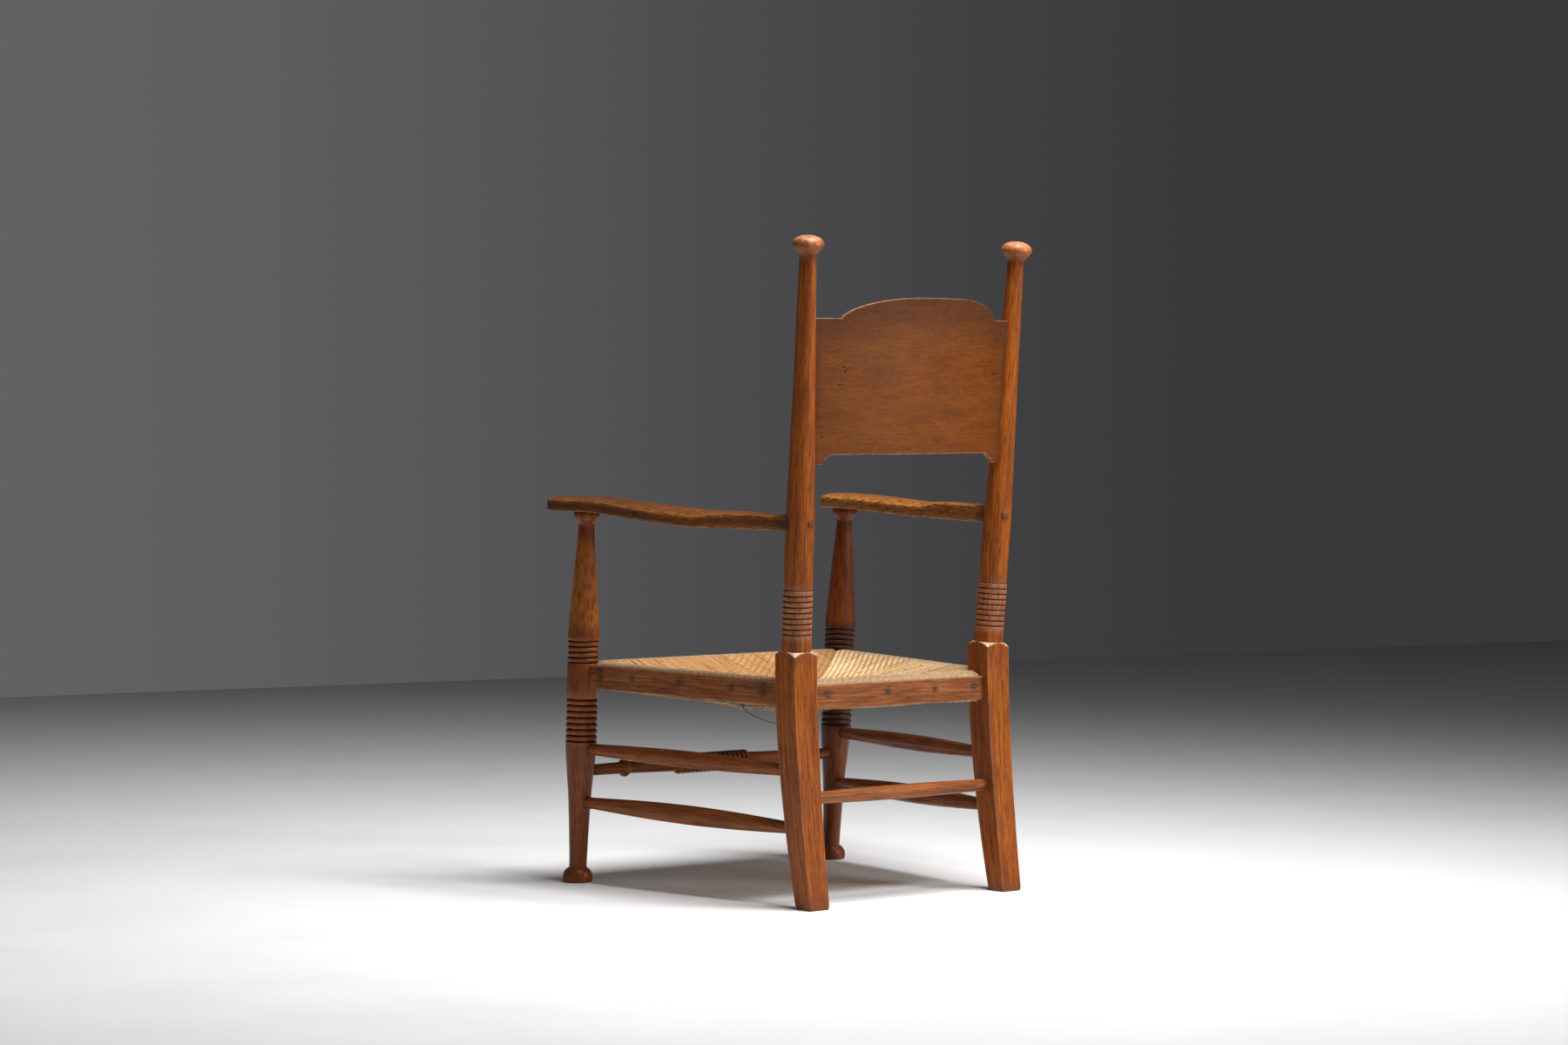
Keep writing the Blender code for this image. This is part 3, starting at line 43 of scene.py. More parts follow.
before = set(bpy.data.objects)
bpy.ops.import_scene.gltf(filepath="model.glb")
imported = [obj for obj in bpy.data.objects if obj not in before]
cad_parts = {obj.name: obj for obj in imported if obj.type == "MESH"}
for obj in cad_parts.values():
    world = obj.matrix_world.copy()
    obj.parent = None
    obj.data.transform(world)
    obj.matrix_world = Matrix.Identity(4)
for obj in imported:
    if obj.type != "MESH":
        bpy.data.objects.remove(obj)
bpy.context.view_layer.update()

SIDES = {"left": 1, "right": -1}
LEVEL = Vector((0.0, 0.0, 1.0))
# Play left between a piece and what it fits against
PLAY = 0.0003

# Front posts
FRONT_FOOT = (0.2881, -0.2596)
FRONT_RAKE = math.radians(2.36)
FRONT_SPLAY = math.radians(0.43)
FRONT_LENGTHS = {1: 0.6380, -1: 0.6336}
BUTTON_DEPTHS = (0.0225, 0.0065)
FOOT_BOTTOM_RADIUS = 0.0240
FOOT_RADIUS = 0.0260
FOOT_NECK_RADIUS = 0.0150
FOOT_WIDEST = 0.0067
FOOT_TOP = 0.0250
DRUM_RADIUS = 0.0270
LOWER_RINGS = (0.2440, 0.3165, 7)
UPPER_RINGS = (0.3790, 0.4165, 4)
FRONT_RING_DEPTH = 0.0032
RING_MARGIN = 0.0018
VASE = ((0.0250, 0.0150), (0.0500, 0.0155), (0.1420, 0.0194), (0.2120, 0.0250), (0.2422, 0.0270))
CONE = ((0.4240, 0.0270), (0.5360, 0.0192), (0.5715, 0.0160), (0.6090, 0.0137))
BUTTON_NECK_RADIUS = 0.0136
BUTTON_RADIUS = 0.0222
BUTTON_TOP_RADIUS = 0.0195

# Rear posts
REAR_BLOCK = (0.2156, 0.2262)
BLOCK_SIDE = 0.0500
BLOCK_TOP = 0.4206
REAR_RAKE = math.radians(3.656)
REAR_SPLAY = math.radians(1.48)
LEG_SWEEP = 0.0463
SWEEP_START = 0.4000
SWEEP_POWER = 1.7
TAPER_START = 0.3200
REAR_FOOT = (0.0417, 0.0381)
POMMEL_HEIGHT = 0.0105
POMMEL_POWER = 2.2
COLLAR_RADIUS = 0.0248
REAR_RINGS = (0.0280, 0.1010, 8)
REAR_RING_DEPTH = 0.0018
REAR_WAIST = ((0.1028, 0.0239), (0.2040, 0.0239))
REAR_TAPER = ((0.158, 0.0224), (0.484, 0.0187), (0.761, 0.0162))
FINIAL_NECK_RADIUS = 0.0139
FINIAL_RADIUS = 0.0264
FINIAL_HEIGHT = 0.0325
FINIAL_DOME = 0.0155
CHAIR_HEIGHT = 1.1000

# Back panel
PANEL_THICKNESS = 0.0100
PANEL_SHOULDER = 0.9655
PANEL_RISE = 0.0355
PANEL_CRESTS = {1: (0.1640, 2.0), -1: (0.1735, 5.0)}
PANEL_BOTTOM = 0.7420
PANEL_FOOT_DROP = 0.0165
PANEL_FOOT_LIP = 0.0035
PANEL_FOOT = 0.1885
PANEL_COVE = 0.0235
PANEL_BOW = 0.0270
PANEL_END_TO_AXIS = 0.0010
PIN_HEIGHT = 0.8740
PIN_FROM_AXIS = 0.0055

# Arms
ARM_THICKNESS = 0.0255
ARM_REAR_HEIGHTS = {1: 0.6178, -1: 0.6235}
STEM_HALF = 0.0195
STEM_EDGE = 0.0240
ARM_STEP = 0.0018
ARM_STEP_Y = 0.0930
ARM_HALF = 0.0415
ARM_EDGE = 0.0180
ARM_OFFSET = 0.0115
ARM_INNER_EDGE = 0.0349
ARM_OVERHANG = 0.0605
ARM_FLARE_END_Y = -0.1120
EDGE_FALL_END_Y = 0.0330
ARM_RISE = (0.0500, -0.2000)
ARM_INNER_STRAIGHTNESS = 0.6
ARM_OUTER_STRAIGHTNESS = {1: 0.0, -1: 0.6}
ARM_STEM_THICKER = {1: 0.0, -1: 0.0030}
ARM_CROWN_POWER = 2.4
PLUG_RADIUS = 0.0071

# Seat
STRIP_OUTBOARD = 0.0104
STRIP_SETBACK = 0.0100
STRIP_THICKNESS = 0.0080
STRIP_WIDTH = 0.0400
STRIP_LIFT = -0.0010
RAIL_DEPTH = 0.0218
FRONT_RAIL_HEIGHT = 0.3565
SIDE_RAIL_REAR_HEIGHT = 0.3510
REAR_RAIL_HEIGHT = 0.3445
RUSH_TOP = 0.0235
RUSH_BOTTOM = -0.0230
RUSH_ROUND = 0.0100
DISH_HEIGHT = 0.3420
BELLY_HEIGHT = 0.3120
DISH_STEEPNESS = {"front": 2.2, "rear": 1.1}
SEAM_CENTRE = Vector((-0.010, 0.008))
# How far the strips' ends reach past the posts' faces: into a round drum, into a square block
STRIP_INTO_DRUM = 0.0025
STRIP_INTO_BLOCK = 0.0010
# How much darker each side of the rush is coloured, from 0 for pale straw
RUSH_SIDE_DARKENING = {"right": 0.0, "rear": 0.62, "left": 0.88, "front": 0.92}
# Start, end, depth inwards and sag of each strand worked loose below the left rail
LOOSE_STRANDS = (
    (0.130, 0.462, 0.004, 0.0060),
    (0.190, 0.462, 0.011, 0.0088),
    (0.235, 0.462, 0.007, 0.0110),
    (0.270, 0.462, 0.015, 0.0128),
    (0.085, 0.330, 0.009, 0.0048),
    (0.290, 0.455, 0.003, 0.0070),
)
KNOT_DEPTH = 0.008
KNOT_RADIUS = 0.0036

# Nails: height above the strip's middle, and shares along each strip
NAIL_LIFT = 0.0035
NAIL_PAIR_LIFTS = (0.0120, -0.0005)
NAIL_PAIR_SHARES = (0.053, 0.927)
SIDE_NAIL_SHARES = (0.232, 0.482, 0.763)
CROSS_NAIL_SHARES = (0.056, 0.290, 0.571, 0.918)

# Stretchers
TIP_TO_AXIS = 0.0050
PLAIN_END = 0.0300
SWELL_END_RADIUS = 0.0099
SIDE_STRETCHERS = {
    "upper": ({"left": (0.2303, 0.2238), "right": (0.2294, 0.2298)}, 0.0142),
    "lower": ({"left": (0.1383, 0.1295), "right": (0.1389, 0.1410)}, 0.0162),
}
REAR_STRETCHER = (0.1787, 0.0120)
FRONT_STRETCHER_HEIGHT = 0.1915
FRONT_END_RADIUS = 0.0092
BEAD = (0.1938, 0.0070, 0.0157)
BEAD_WAIST = 0.0103
SHAFT_RADIUS = 0.0127
REEDS = (0.0790, 16, 0.0176, 0.0028)

# Loose end of twine under the left rear corner, where both of its ends go into the rush
TWINE_RADIUS = 0.0010
TWINE_TWIST = 0.0090
TWINE_ROUTE = (
    (0.2320, 0.1090, 0.3274),
    (0.2321, 0.1095, 0.3250),
    (0.2326, 0.1189, 0.3159),
    (0.2294, 0.1399, 0.3083),
    (0.2254, 0.1670, 0.3012),
    (0.2215, 0.1860, 0.2995),
    (0.2150, 0.1930, 0.3005),
    (0.2060, 0.1900, 0.3060),
    (0.1980, 0.1815, 0.3150),
    (0.1960, 0.1792, 0.3215),
    (0.1960, 0.1790, 0.3237),
)

# Wear, dirt, painted highlights and painted shade, as shares that the finishes show
# Painted highlight on the pommels' cut corners
POMMEL_HIGHLIGHT = 2.4
LEG_EDGE_WEAR = 0.18
FOOT_DIRT = 0.35
# Painted highlight on the left front post's cone, and painted shade on the right front post, deepest
# on its drum
CONE_HIGHLIGHT = 1.3
RIGHT_POST_SHADE = 0.22
RIGHT_DRUM_SHADE = 0.64
# Back panel coloured darker towards its crest and towards its ends
CREST_DARKENING = 0.56
PANEL_END_DARKENING = 0.16
PANEL_SLOT_DIRT = 0.5
# Painted highlight over the right arm, and painted shade growing towards the front of the left arm
RIGHT_ARM_HIGHLIGHT = 0.45
LEFT_ARM_SHADE = 0.42
ARM_JOINT_DIRT = 0.8
STRETCHER_JOINT_DIRT = 0.5
STRIP_EDGE_WEAR = 0.8
NAIL_STAIN = 0.75

# Camera, fitted to the photograph
CAMERA_HEADING = 0.7079046
CAMERA_PITCH = 0.0377968
CAMERA_ROLL = 0.00721847
CAMERA_AZIMUTH = 0.7126284
CAMERA_DISTANCE = 7.38966
CAMERA_SETBACK = 0.005
CAMERA_HEIGHT = 0.898618
CAMERA_LENS = 99.426
CAMERA_SENSOR = 36.0

# Studio: place, aim and width of each lamp, then the floor's painted pool of light and the
# backdrop's painted shade
OVERHEAD_LAMP = ((-0.15, 0.85, 2.9), (0.0, 0.0, 0.35), 1.3)
SIDE_LAMP = ((-1.7, 2.9, 1.75), (0.0, 0.0, 0.60), 1.15)
FLOOR_CORNERS = ((6.5, -5.5, 0.0), (10.1, 6.8, 0.0), (-4.9, 11.7, 0.0), (-10.4, -2.8, 0.0))
# Painted pool of light on the floor: its centre, and where it fades to painted shade
FLOOR_LIGHT_POOL_CENTRE = (1.40, -0.67, 0.0)
FLOOR_LIGHT_FADE = (0.7, 5.7)
# Backdrop painted darker across the view, as painted shade
BACKDROP_ACROSS = (-0.7597, 0.6502, 0.0)
BACKDROP_SHADE_FADE = (-0.20, 0.12)

# A point of a wooden or iron skin, and a tube of rush or twine
Spot = namedtuple("Spot", "place grain wear grime")
Strand = namedtuple("Strand", "points radii wear pick flatness age")


def blend(start, end, value):
    """Smooth step from 0 at start to 1 at end."""
    share = min(1.0, max(0.0, (value - start) / (end - start)))
    return share * share * (3.0 - 2.0 * share)


def arc(*degrees):
    """(sine, cosine) of each angle."""
    return [(math.sin(math.radians(angle)), math.cos(math.radians(angle))) for angle in degrees]


def lean(side, splay, rake):
    """Direction of a post that leans outwards by its splay and backwards by its rake."""
    return Vector((side * math.tan(splay), math.tan(rake), 1.0)).normalized()


def front_axis(side, height):
    """Point on a front post's middle line at a height."""
    direction = lean(side, FRONT_SPLAY, FRONT_RAKE)
    return Vector((side * FRONT_FOOT[0], FRONT_FOOT[1], 0.0)) + direction * (height / direction.z)


def rear_axis(side, height):
    """Point on the middle line of a rear post's leaning upper part."""
    direction = lean(side, REAR_SPLAY, REAR_RAKE)
    base = Vector((side * REAR_BLOCK[0], REAR_BLOCK[1], BLOCK_TOP))
    return base + direction * ((height - BLOCK_TOP) / direction.z)


def rear_leg_centre(side, height):
    """Middle of a rear post's swept square leg at a height."""
    share = max(0.0, (SWEEP_START - height) / SWEEP_START)
    return Vector((side * REAR_BLOCK[0], REAR_BLOCK[1] + LEG_SWEEP * share ** SWEEP_POWER, height))


def smooth_profile(points, step=0.006):
    """(distance, radius) points through the given ones on a curve that never overshoots."""
    slopes = []
    for i in range(len(points)):
        before = points[max(0, i - 1)]
        after = points[min(len(points) - 1, i + 1)]
        slope = (after[1] - before[1]) / (after[0] - before[0])
        turned_back = (after[1] - points[i][1]) * (points[i][1] - before[1]) < 0.0
        slopes.append(0.0 if turned_back else slope)
    fine = []
    for (x0, y0), (x1, y1), m0, m1 in zip(points, points[1:], slopes, slopes[1:]):
        run = x1 - x0
        count = max(1, round(run / step))
        for i in range(count):
            t = i / count
            fine.append((x0 + run * t,
                         y0 * (2 * t ** 3 - 3 * t ** 2 + 1) + y1 * (3 * t ** 2 - 2 * t ** 3)
                         + run * (m0 * (t ** 3 - 2 * t ** 2 + t) + m1 * (t ** 3 - t ** 2))))
    fine.append(points[-1])
    return fine


def swell(wide, narrow, start, end, steps, fullness):
    """(distance, radius) from a widest ring at start, rounding in to a neck at end."""
    points = []
    for i in range(steps + 1):
        share = i / steps
        radius = narrow + (wide - narrow) * math.cos(math.pi / 2 * share) ** fullness
        points.append((start + (end - start) * share, radius))
    return points


def ring_profile(rings, radius, depth, flatness):
    """Turned beads with narrow grooves between them."""
    start, end, count = rings
    pitch = (end - start) / count
    points = [(start, radius - depth)]
    for i in range(count):
        for across in (-0.96, -0.88, -0.76, -0.55, -0.25, 0.25, 0.55, 0.76, 0.88, 0.96, 1.0):
            distance = start + pitch * (i + (across + 1.0) / 2)
            points.append((distance, radius - depth * abs(across) ** flatness))
    return points


def profile_marks(profile):
    """Wear and darkening of each profile point: crowns are rubbed paler, partly as a painted
    highlight, and hollows between beads are darkened by dirt and painted shade.
    """
    marks = []
    reach = 0.0042
    for distance, radius in profile:
        near = [r for d, r in profile if abs(d - distance) < reach]
        before = max([r for d, r in profile if -reach < d - distance <= 0.0])
        after = max([r for d, r in profile if 0.0 <= d - distance < reach])
        hollow = (min(before, after) - radius) / 0.0011
        lift = (radius - sum(near) / len(near)) / 0.0022
        marks.append((max(0.0, min(0.5, lift)), max(0.0, min(1.0, hollow))))
    return marks


def circle_spots(centre, direction, radius, distance, wear, grime, segments, seed):
    """One ring of a turned piece, square to a direction."""
    across = Vector((1.0, 0.0, 0.0)) if abs(direction.x) < 0.9 else Vector((0.0, 1.0, 0.0))
    across = (across - direction * across.dot(direction)).normalized()
    along = direction.cross(across)
    spots = []
    for i in range(segments):
        angle = math.tau * i / segments
        x, y = radius * math.cos(angle), radius * math.sin(angle)
        place = centre + across * x + along * y
        spots.append(Spot(place, Vector((x + seed * 0.37, y + seed * 0.21, distance)), wear, grime))
    return spots


def skin(name, rows, finish, smooth_angle=40.0):
    """Closed skin through rows of spots, each row a loop, with a flat face on both ends."""
    count = len(rows[0])
    places = [spot.place for row in rows for spot in row]
    faces = []
    for r in range(len(rows) - 1):
        for i in range(count):
            j = (i + 1) % count
            faces.append((r * count + i, r * count + j, (r + 1) * count + j, (r + 1) * count + i))
    faces.append(tuple(reversed(range(count))))
    faces.append(tuple(range((len(rows) - 1) * count, len(rows) * count)))
    mesh = bpy.data.meshes.new(name)
    mesh.from_pydata(places, [], faces)
    spots = [spot for row in rows for spot in row]
    grain = mesh.attributes.new("grain", "FLOAT_VECTOR", "POINT")
    grain.data.foreach_set("vector", [value for spot in spots for value in spot.grain])
    for key in ("wear", "grime"):
        layer = mesh.attributes.new(key, "FLOAT", "POINT")
        layer.data.foreach_set("value", [getattr(spot, key) for spot in spots])
    return add_piece(name, mesh, finish, smooth_angle)


def add_piece(name, mesh, finish, smooth_angle=40.0):
    """An object in the scene for a mesh, smooth but for edges sharper than the angle."""
    mesh.shade_smooth()
    mesh.set_sharp_from_angle(angle=math.radians(smooth_angle))
    mesh.materials.append(finish)
    piece = bpy.data.objects.new(name, mesh)
    bpy.context.scene.collection.objects.link(piece)
    return piece


def settle(piece, slot, *nodes):
    """Ties a piece to the chair's one body and hides the imported parts it stands for; slot is not
    used.
    """
    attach(piece, "root")
    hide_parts(*nodes)


def turned_rows(base, direction, profile, segments, seed, level_start=0.0, level_end=None):
    """Rows of a turned piece; rows near a level end are tipped level with the floor."""
    rows = []
    for (distance, radius), (wear, grime) in zip(profile, profile_marks(profile)):
        facing = direction
        if distance < level_start:
            facing = LEVEL.lerp(direction, distance / level_start).normalized()
        if level_end is not None and distance > level_end:
            facing = LEVEL
        rows.append(circle_spots(
            base + direction * distance, facing, radius, distance, wear, grime, segments, seed))
    return rows


class Wiring:
    """A node tree in the making; each call adds a node and gives back what it puts out."""

    def __init__(self, tree):
        self.tree = tree

    def feed(self, socket, value):
        if isinstance(value, bpy.types.NodeSocket):
            self.tree.links.new(value, socket)
        else:
            socket.default_value = value

    def add(self, kind, inputs, **settings):
        node = self.tree.nodes.new(kind)
        for key, value in settings.items():
            setattr(node, key, value)
        for key, value in inputs.items():
            self.feed(node.inputs[key], value)
        return node

    def field(self, name):
        """A value or vector stored on the mesh."""
        return self.add("ShaderNodeAttribute", {}, attribute_name=name)

    def stretch(self, vector, scale, offset=(0.0, 0.0, 0.0)):
        return self.add("ShaderNodeMapping", {
            "Vector": vector, "Scale": scale, "Location": offset}).outputs["Vector"]

    def noise(self, vector, detail=2.0, roughness=0.5, distortion=0.0):
        return self.add("ShaderNodeTexNoise", {
            "Vector": vector, "Scale": 1.0, "Detail": detail, "Roughness": roughness,
            "Distortion": distortion}).outputs["Fac"]

    def span(self, value, low, high, to_low=0.0, to_high=1.0):
        """Value between low and high, spread smoothly over the second pair."""
        return self.add("ShaderNodeMapRange", {
            "Value": value, "From Min": low, "From Max": high, "To Min": to_low,
            "To Max": to_high}, interpolation_type="SMOOTHSTEP").outputs["Result"]

    def maths(self, operation, first, second=0.0, clamp=False):
        return self.add("ShaderNodeMath", {0: first, 1: second}, operation=operation,
                        use_clamp=clamp).outputs["Value"]

    def plus(self, first, second, clamp=False):
        return self.maths("ADD", first, second, clamp)

    def times(self, first, second, clamp=False):
        return self.maths("MULTIPLY", first, second, clamp)

    def vector_maths(self, operation, first, second):
        return self.add("ShaderNodeVectorMath", {0: first, 1: second},
                        operation=operation).outputs["Vector"]

    def vector(self, x, y, z):
        return self.add("ShaderNodeCombineXYZ", {"X": x, "Y": y, "Z": z}).outputs["Vector"]

    def mix(self, factor, first, second, kind="MIX"):
        node = self.add("ShaderNodeMix", {0: factor, 6: first, 7: second}, data_type="RGBA",
                        blend_type=kind)
        return node.outputs[2]

    def ramp(self, value, stops):
        node = self.add("ShaderNodeValToRGB", {"Fac": value})
        points = node.color_ramp.elements
        while len(points) < len(stops):
            points.new(0.5)
        for point, (position, colour) in zip(points, stops):
            point.position = position
            point.color = colour
        return node.outputs["Color"]

    def bump(self, height, strength, distance):
        return self.add("ShaderNodeBump", {
            "Height": height, "Strength": strength, "Distance": distance}).outputs["Normal"]


class Finish(Wiring):
    """A material in the making, wired from procedural nodes into one shader."""

    def __init__(self, name, roughness=0.5, coat=0.0, coat_roughness=0.2):
        self.material = bpy.data.materials.new(name)
        self.material.use_nodes = True
        super().__init__(self.material.node_tree)
        self.shader = self.tree.nodes["Principled BSDF"]
        self.set("Roughness", roughness)
        self.set("Coat Weight", coat)
        self.set("Coat Roughness", coat_roughness)

    def set(self, socket, value):
        self.feed(self.shader.inputs[socket], value)


def shade(colour, factor):
    """A colour made darker, or paler, by a factor."""
    return tuple(channel * factor for channel in colour[:3]) + (1.0,)


def oak_finish(name, light, dark, figure="plain", streaks=1.0, fleck=0.0, roughness=0.33,
               gloss=0.24, worn=(0.48, 0.22, 0.075, 1.0), cracks=(), knots=()):
    """Oiled and waxed oak: soft bands, fine lines, dark pores, rubbed crowns and painted highlights,
    dirt and painted shade in hollows.
    """
    finish = Finish(name, coat=0.04, coat_roughness=0.12)
    finish.set("Specular IOR Level", gloss)
    grain = finish.field("grain").outputs["Vector"]
    wear = finish.field("wear").outputs["Fac"]
    grime = finish.field("grime").outputs["Fac"]
    fine = figure == "fine"
    board = grain
    for knot in knots:
        grain = bent_round(finish, grain, board, knot)
    broad = finish.noise(finish.stretch(
        grain, (16.0, 34.0, 8.0) if fine else (60.0, 60.0, 5.0)), 3.0, 0.55, 0.7)
    wave = finish.noise(finish.stretch(
        grain, (90.0, 260.0, 30.0) if fine else (150.0, 150.0, 9.0), (1.3, 4.9, 2.1)), 3.0, 0.6, 0.5)
    lines = finish.noise(finish.stretch(
        grain, (300.0, 760.0, 75.0) if fine else (430.0, 430.0, 17.0)), 3.0, 0.65, 0.3)
    pores = finish.noise(finish.stretch(
        grain, (500.0, 900.0, 130.0) if fine else (780.0, 780.0, 44.0), (7.3, 2.9, 5.1)), 2.0, 0.6)
    fibres = finish.noise(finish.stretch(
        grain, (900.0, 1500.0, 420.0) if fine else (1300.0, 1300.0, 110.0)), 2.0, 0.6)
    blotch = finish.noise(finish.stretch(grain, (9.0, 9.0, 7.0), (3.1, 1.7, 0.4)), 3.0, 0.6, 0.3)
    tone = finish.plus(finish.times(broad, 0.30 if fine else 0.26),
                        finish.times(lines, 0.48 if fine else 0.52))
    tone = finish.plus(tone, finish.times(wave, 0.22))
    colour = finish.ramp(tone, [
        (0.36, shade(dark, 0.80)), (0.45, dark), (0.57, light), (0.68, shade(light, 1.20))])
    pore = finish.span(pores, 0.55, 0.64)
    pore = finish.times(pore, streaks, clamp=True)
    colour = finish.mix(finish.times(pore, 0.66), colour, shade(dark, 0.30))
    colour = finish.mix(finish.span(fibres, 0.42, 0.72, 0.0, 0.28), colour, shade(light, 1.35))
    if fleck > 0.0:
        rays = finish.noise(finish.stretch(grain, (230.0, 420.0, 90.0)), 3.0, 0.6, 0.8)
        colour = finish.mix(finish.span(rays, 0.52, 0.68, 0.0, fleck), colour, shade(light, 1.7))
        colour = finish.mix(finish.span(rays, 0.46, 0.32, 0.0, fleck), colour, shade(dark, 0.55))
    colour = finish.mix(finish.span(blotch, 0.45, 0.75, 0.0, 0.45), colour,
                        finish.mix(1.0, colour, (0.62, 0.55, 0.50, 1.0), "MULTIPLY"))
    rub_and_highlight = finish.times(wear, finish.span(finish.noise(
        finish.stretch(grain, (240.0, 240.0, 60.0)), 3.0, 0.6, 0.3), 0.30, 0.62))
    # Rubbed wear; on the pommels, ring crowns, left front cone and right arm it is a painted
    # highlight
    colour = finish.mix(finish.times(rub_and_highlight, 0.40, clamp=True), colour, worn)
    # Dirt and darkening; on the right front post, the left arm and between beads it is painted shade
    colour = finish.mix(finish.times(grime, 0.94, clamp=True), colour,
                        shade(dark, 0.09))
    for centre, length, width in cracks:
        split = crack(finish, board, centre, length, width)
        colour = finish.mix(split, colour, shade(dark, 0.08))
    finish.set("Base Color", colour)
    dull = finish.plus(finish.span(blotch, 0.3, 0.7, -0.04, 0.08),
                        finish.times(pore, 0.22))
    dull = finish.plus(dull, finish.times(grime, 0.25))
    finish.set("Roughness", finish.plus(dull, roughness, clamp=True))
    dents = finish.noise(finish.stretch(grain, (70.0, 70.0, 26.0)), 2.0, 0.5, 0.0)
    height = finish.plus(finish.times(pore, -0.55),
                          finish.times(dents, 0.8))
    height = finish.plus(height, finish.times(lines, 0.35))
    finish.set("Normal", finish.bump(height, 0.40, 0.0006))
    return finish.material


def bent_round(finish, grain, board, knot):
    """Grain lines pushed apart near a knot, so that they run round it."""
    along, height, reach = knot
    away = finish.vector_maths("SUBTRACT", board, (0.0, height, along))
    away = finish.vector_maths("MULTIPLY", away, (0.0, 1.0, 0.7))
    distance = finish.add("ShaderNodeVectorMath", {0: away}, operation="LENGTH").outputs["Value"]
    push = finish.span(distance, reach, 0.0, 0.0, -0.75)
    shift = finish.add("ShaderNodeVectorMath", {0: away, "Scale": push},
                       operation="SCALE").outputs["Vector"]
    shift = finish.vector_maths("MULTIPLY", shift, (0.0, 1.0, 0.0))
    return finish.vector_maths("ADD", grain, shift)


def crack(finish, grain, centre, length, width):
    """How far a point lies inside one short dark split along the grain."""
    wobble = finish.noise(finish.stretch(grain, (90.0, 90.0, 90.0)), 2.0)
    parts = finish.add("ShaderNodeSeparateXYZ", {"Vector": grain}).outputs
    along = finish.maths("DIVIDE", finish.maths("SUBTRACT", parts[2], centre[0]), length)
    bend = finish.times(finish.maths("SUBTRACT", wobble, 0.5), width * 7.0)
    across = finish.maths("SUBTRACT", finish.plus(parts[1], bend), centre[1])
    across = finish.maths("DIVIDE", across, width)
    reach = finish.plus(finish.times(along, along),
                         finish.times(across, across))
    return finish.span(reach, 1.0, 0.25)


def rush_finish(name, pale, golden, brown, twist, weathered=(0.34, 0.25, 0.16, 1.0)):
    """Twisted dry rush: each strand its own straw colour, ridged by its twist, brown flecked."""
    finish = Finish(name, roughness=0.62)
    finish.set("Specular IOR Level", 0.30)
    strand = finish.field("strand").outputs["Vector"]
    age = finish.field("age").outputs["Fac"]
    wear = finish.field("wear").outputs["Fac"]
    parts = finish.add("ShaderNodeSeparateXYZ", {"Vector": strand}).outputs
    turn = finish.times(parts[0], math.tau * 2.0)
    run = finish.times(parts[1], math.tau / twist)
    ridge = finish.maths("SINE", finish.plus(turn, run))
    pick = finish.noise(finish.add("ShaderNodeCombineXYZ", {
        "X": finish.times(parts[2], 917.0),
        "Y": finish.times(parts[1], 7.0), "Z": 0.0}).outputs["Vector"], 1.0, 0.5)
    fleck = finish.noise(finish.add("ShaderNodeCombineXYZ", {
        "X": finish.times(parts[0], 5.0),
        "Y": finish.times(parts[1], 75.0),
        "Z": finish.times(parts[2], 431.0)}).outputs["Vector"], 3.0, 0.65)
    fibre = finish.noise(finish.add("ShaderNodeCombineXYZ", {
        "X": finish.plus(finish.times(parts[0], 22.0),
                          finish.times(parts[1], 120.0)),
        "Y": finish.times(parts[1], 30.0),
        "Z": finish.times(parts[2], 83.0)}).outputs["Vector"], 2.0, 0.6)
    colour = finish.ramp(pick, [
        (0.28, brown), (0.38, shade(golden, 0.80)), (0.48, golden), (0.62, pale),
        (0.78, shade(pale, 1.12))])
    colour = finish.mix(finish.span(fibre, 0.40, 0.7, 0.0, 0.35), colour, shade(pale, 1.1))
    # Each strand coloured darker by its side's share
    colour = finish.mix(age, colour, finish.mix(1.0, colour, (0.62, 0.47, 0.33, 1.0), "MULTIPLY"))
    colour = finish.mix(finish.span(fleck, 0.56, 0.68, 0.0, 0.85), colour, shade(brown, 0.6))
    # Painted shade in the grooves of each strand's twist
    colour = finish.mix(finish.span(ridge, 0.2, -0.95, 0.0, 0.65), colour, shade(brown, 0.5))
    faded = finish.times(wear, finish.span(fleck, 0.30, 0.60, 0.45, 1.0), clamp=True)
    colour = finish.mix(faded, colour, weathered)
    finish.set("Base Color", colour)
    finish.set("Roughness", finish.span(fibre, 0.3, 0.7, 0.52, 0.76))
    height = finish.plus(ridge, finish.times(fibre, 1.3))
    finish.set("Normal", finish.bump(height, 0.75, 0.0005))
    return finish.material


def iron_finish(name, tint):
    """Old dark nail iron, rubbed paler on the crown."""
    finish = Finish(name)
    place = finish.add("ShaderNodeTexCoord", {}).outputs["Object"]
    rust = finish.noise(finish.stretch(place, (600.0, 600.0, 600.0)), 4.0, 0.6)
    wear = finish.field("wear").outputs["Fac"]
    colour = finish.ramp(rust, [
        (0.35, shade(tint, 0.6)), (0.6, tint), (0.75, (0.20, 0.11, 0.06, 1.0))])
    finish.set("Base Color", finish.mix(wear, colour, shade(tint, 2.0)))
    finish.set("Roughness", finish.span(rust, 0.3, 0.7, 0.52, 0.74))
    finish.set("Normal", finish.bump(rust, 0.5, 0.0003))
    return finish.material


def colour_property(name, description, default):
    """A colour that the sidebar shows."""
    return FloatVectorProperty(
        name=name, description=description, subtype="COLOR", size=4, default=default)


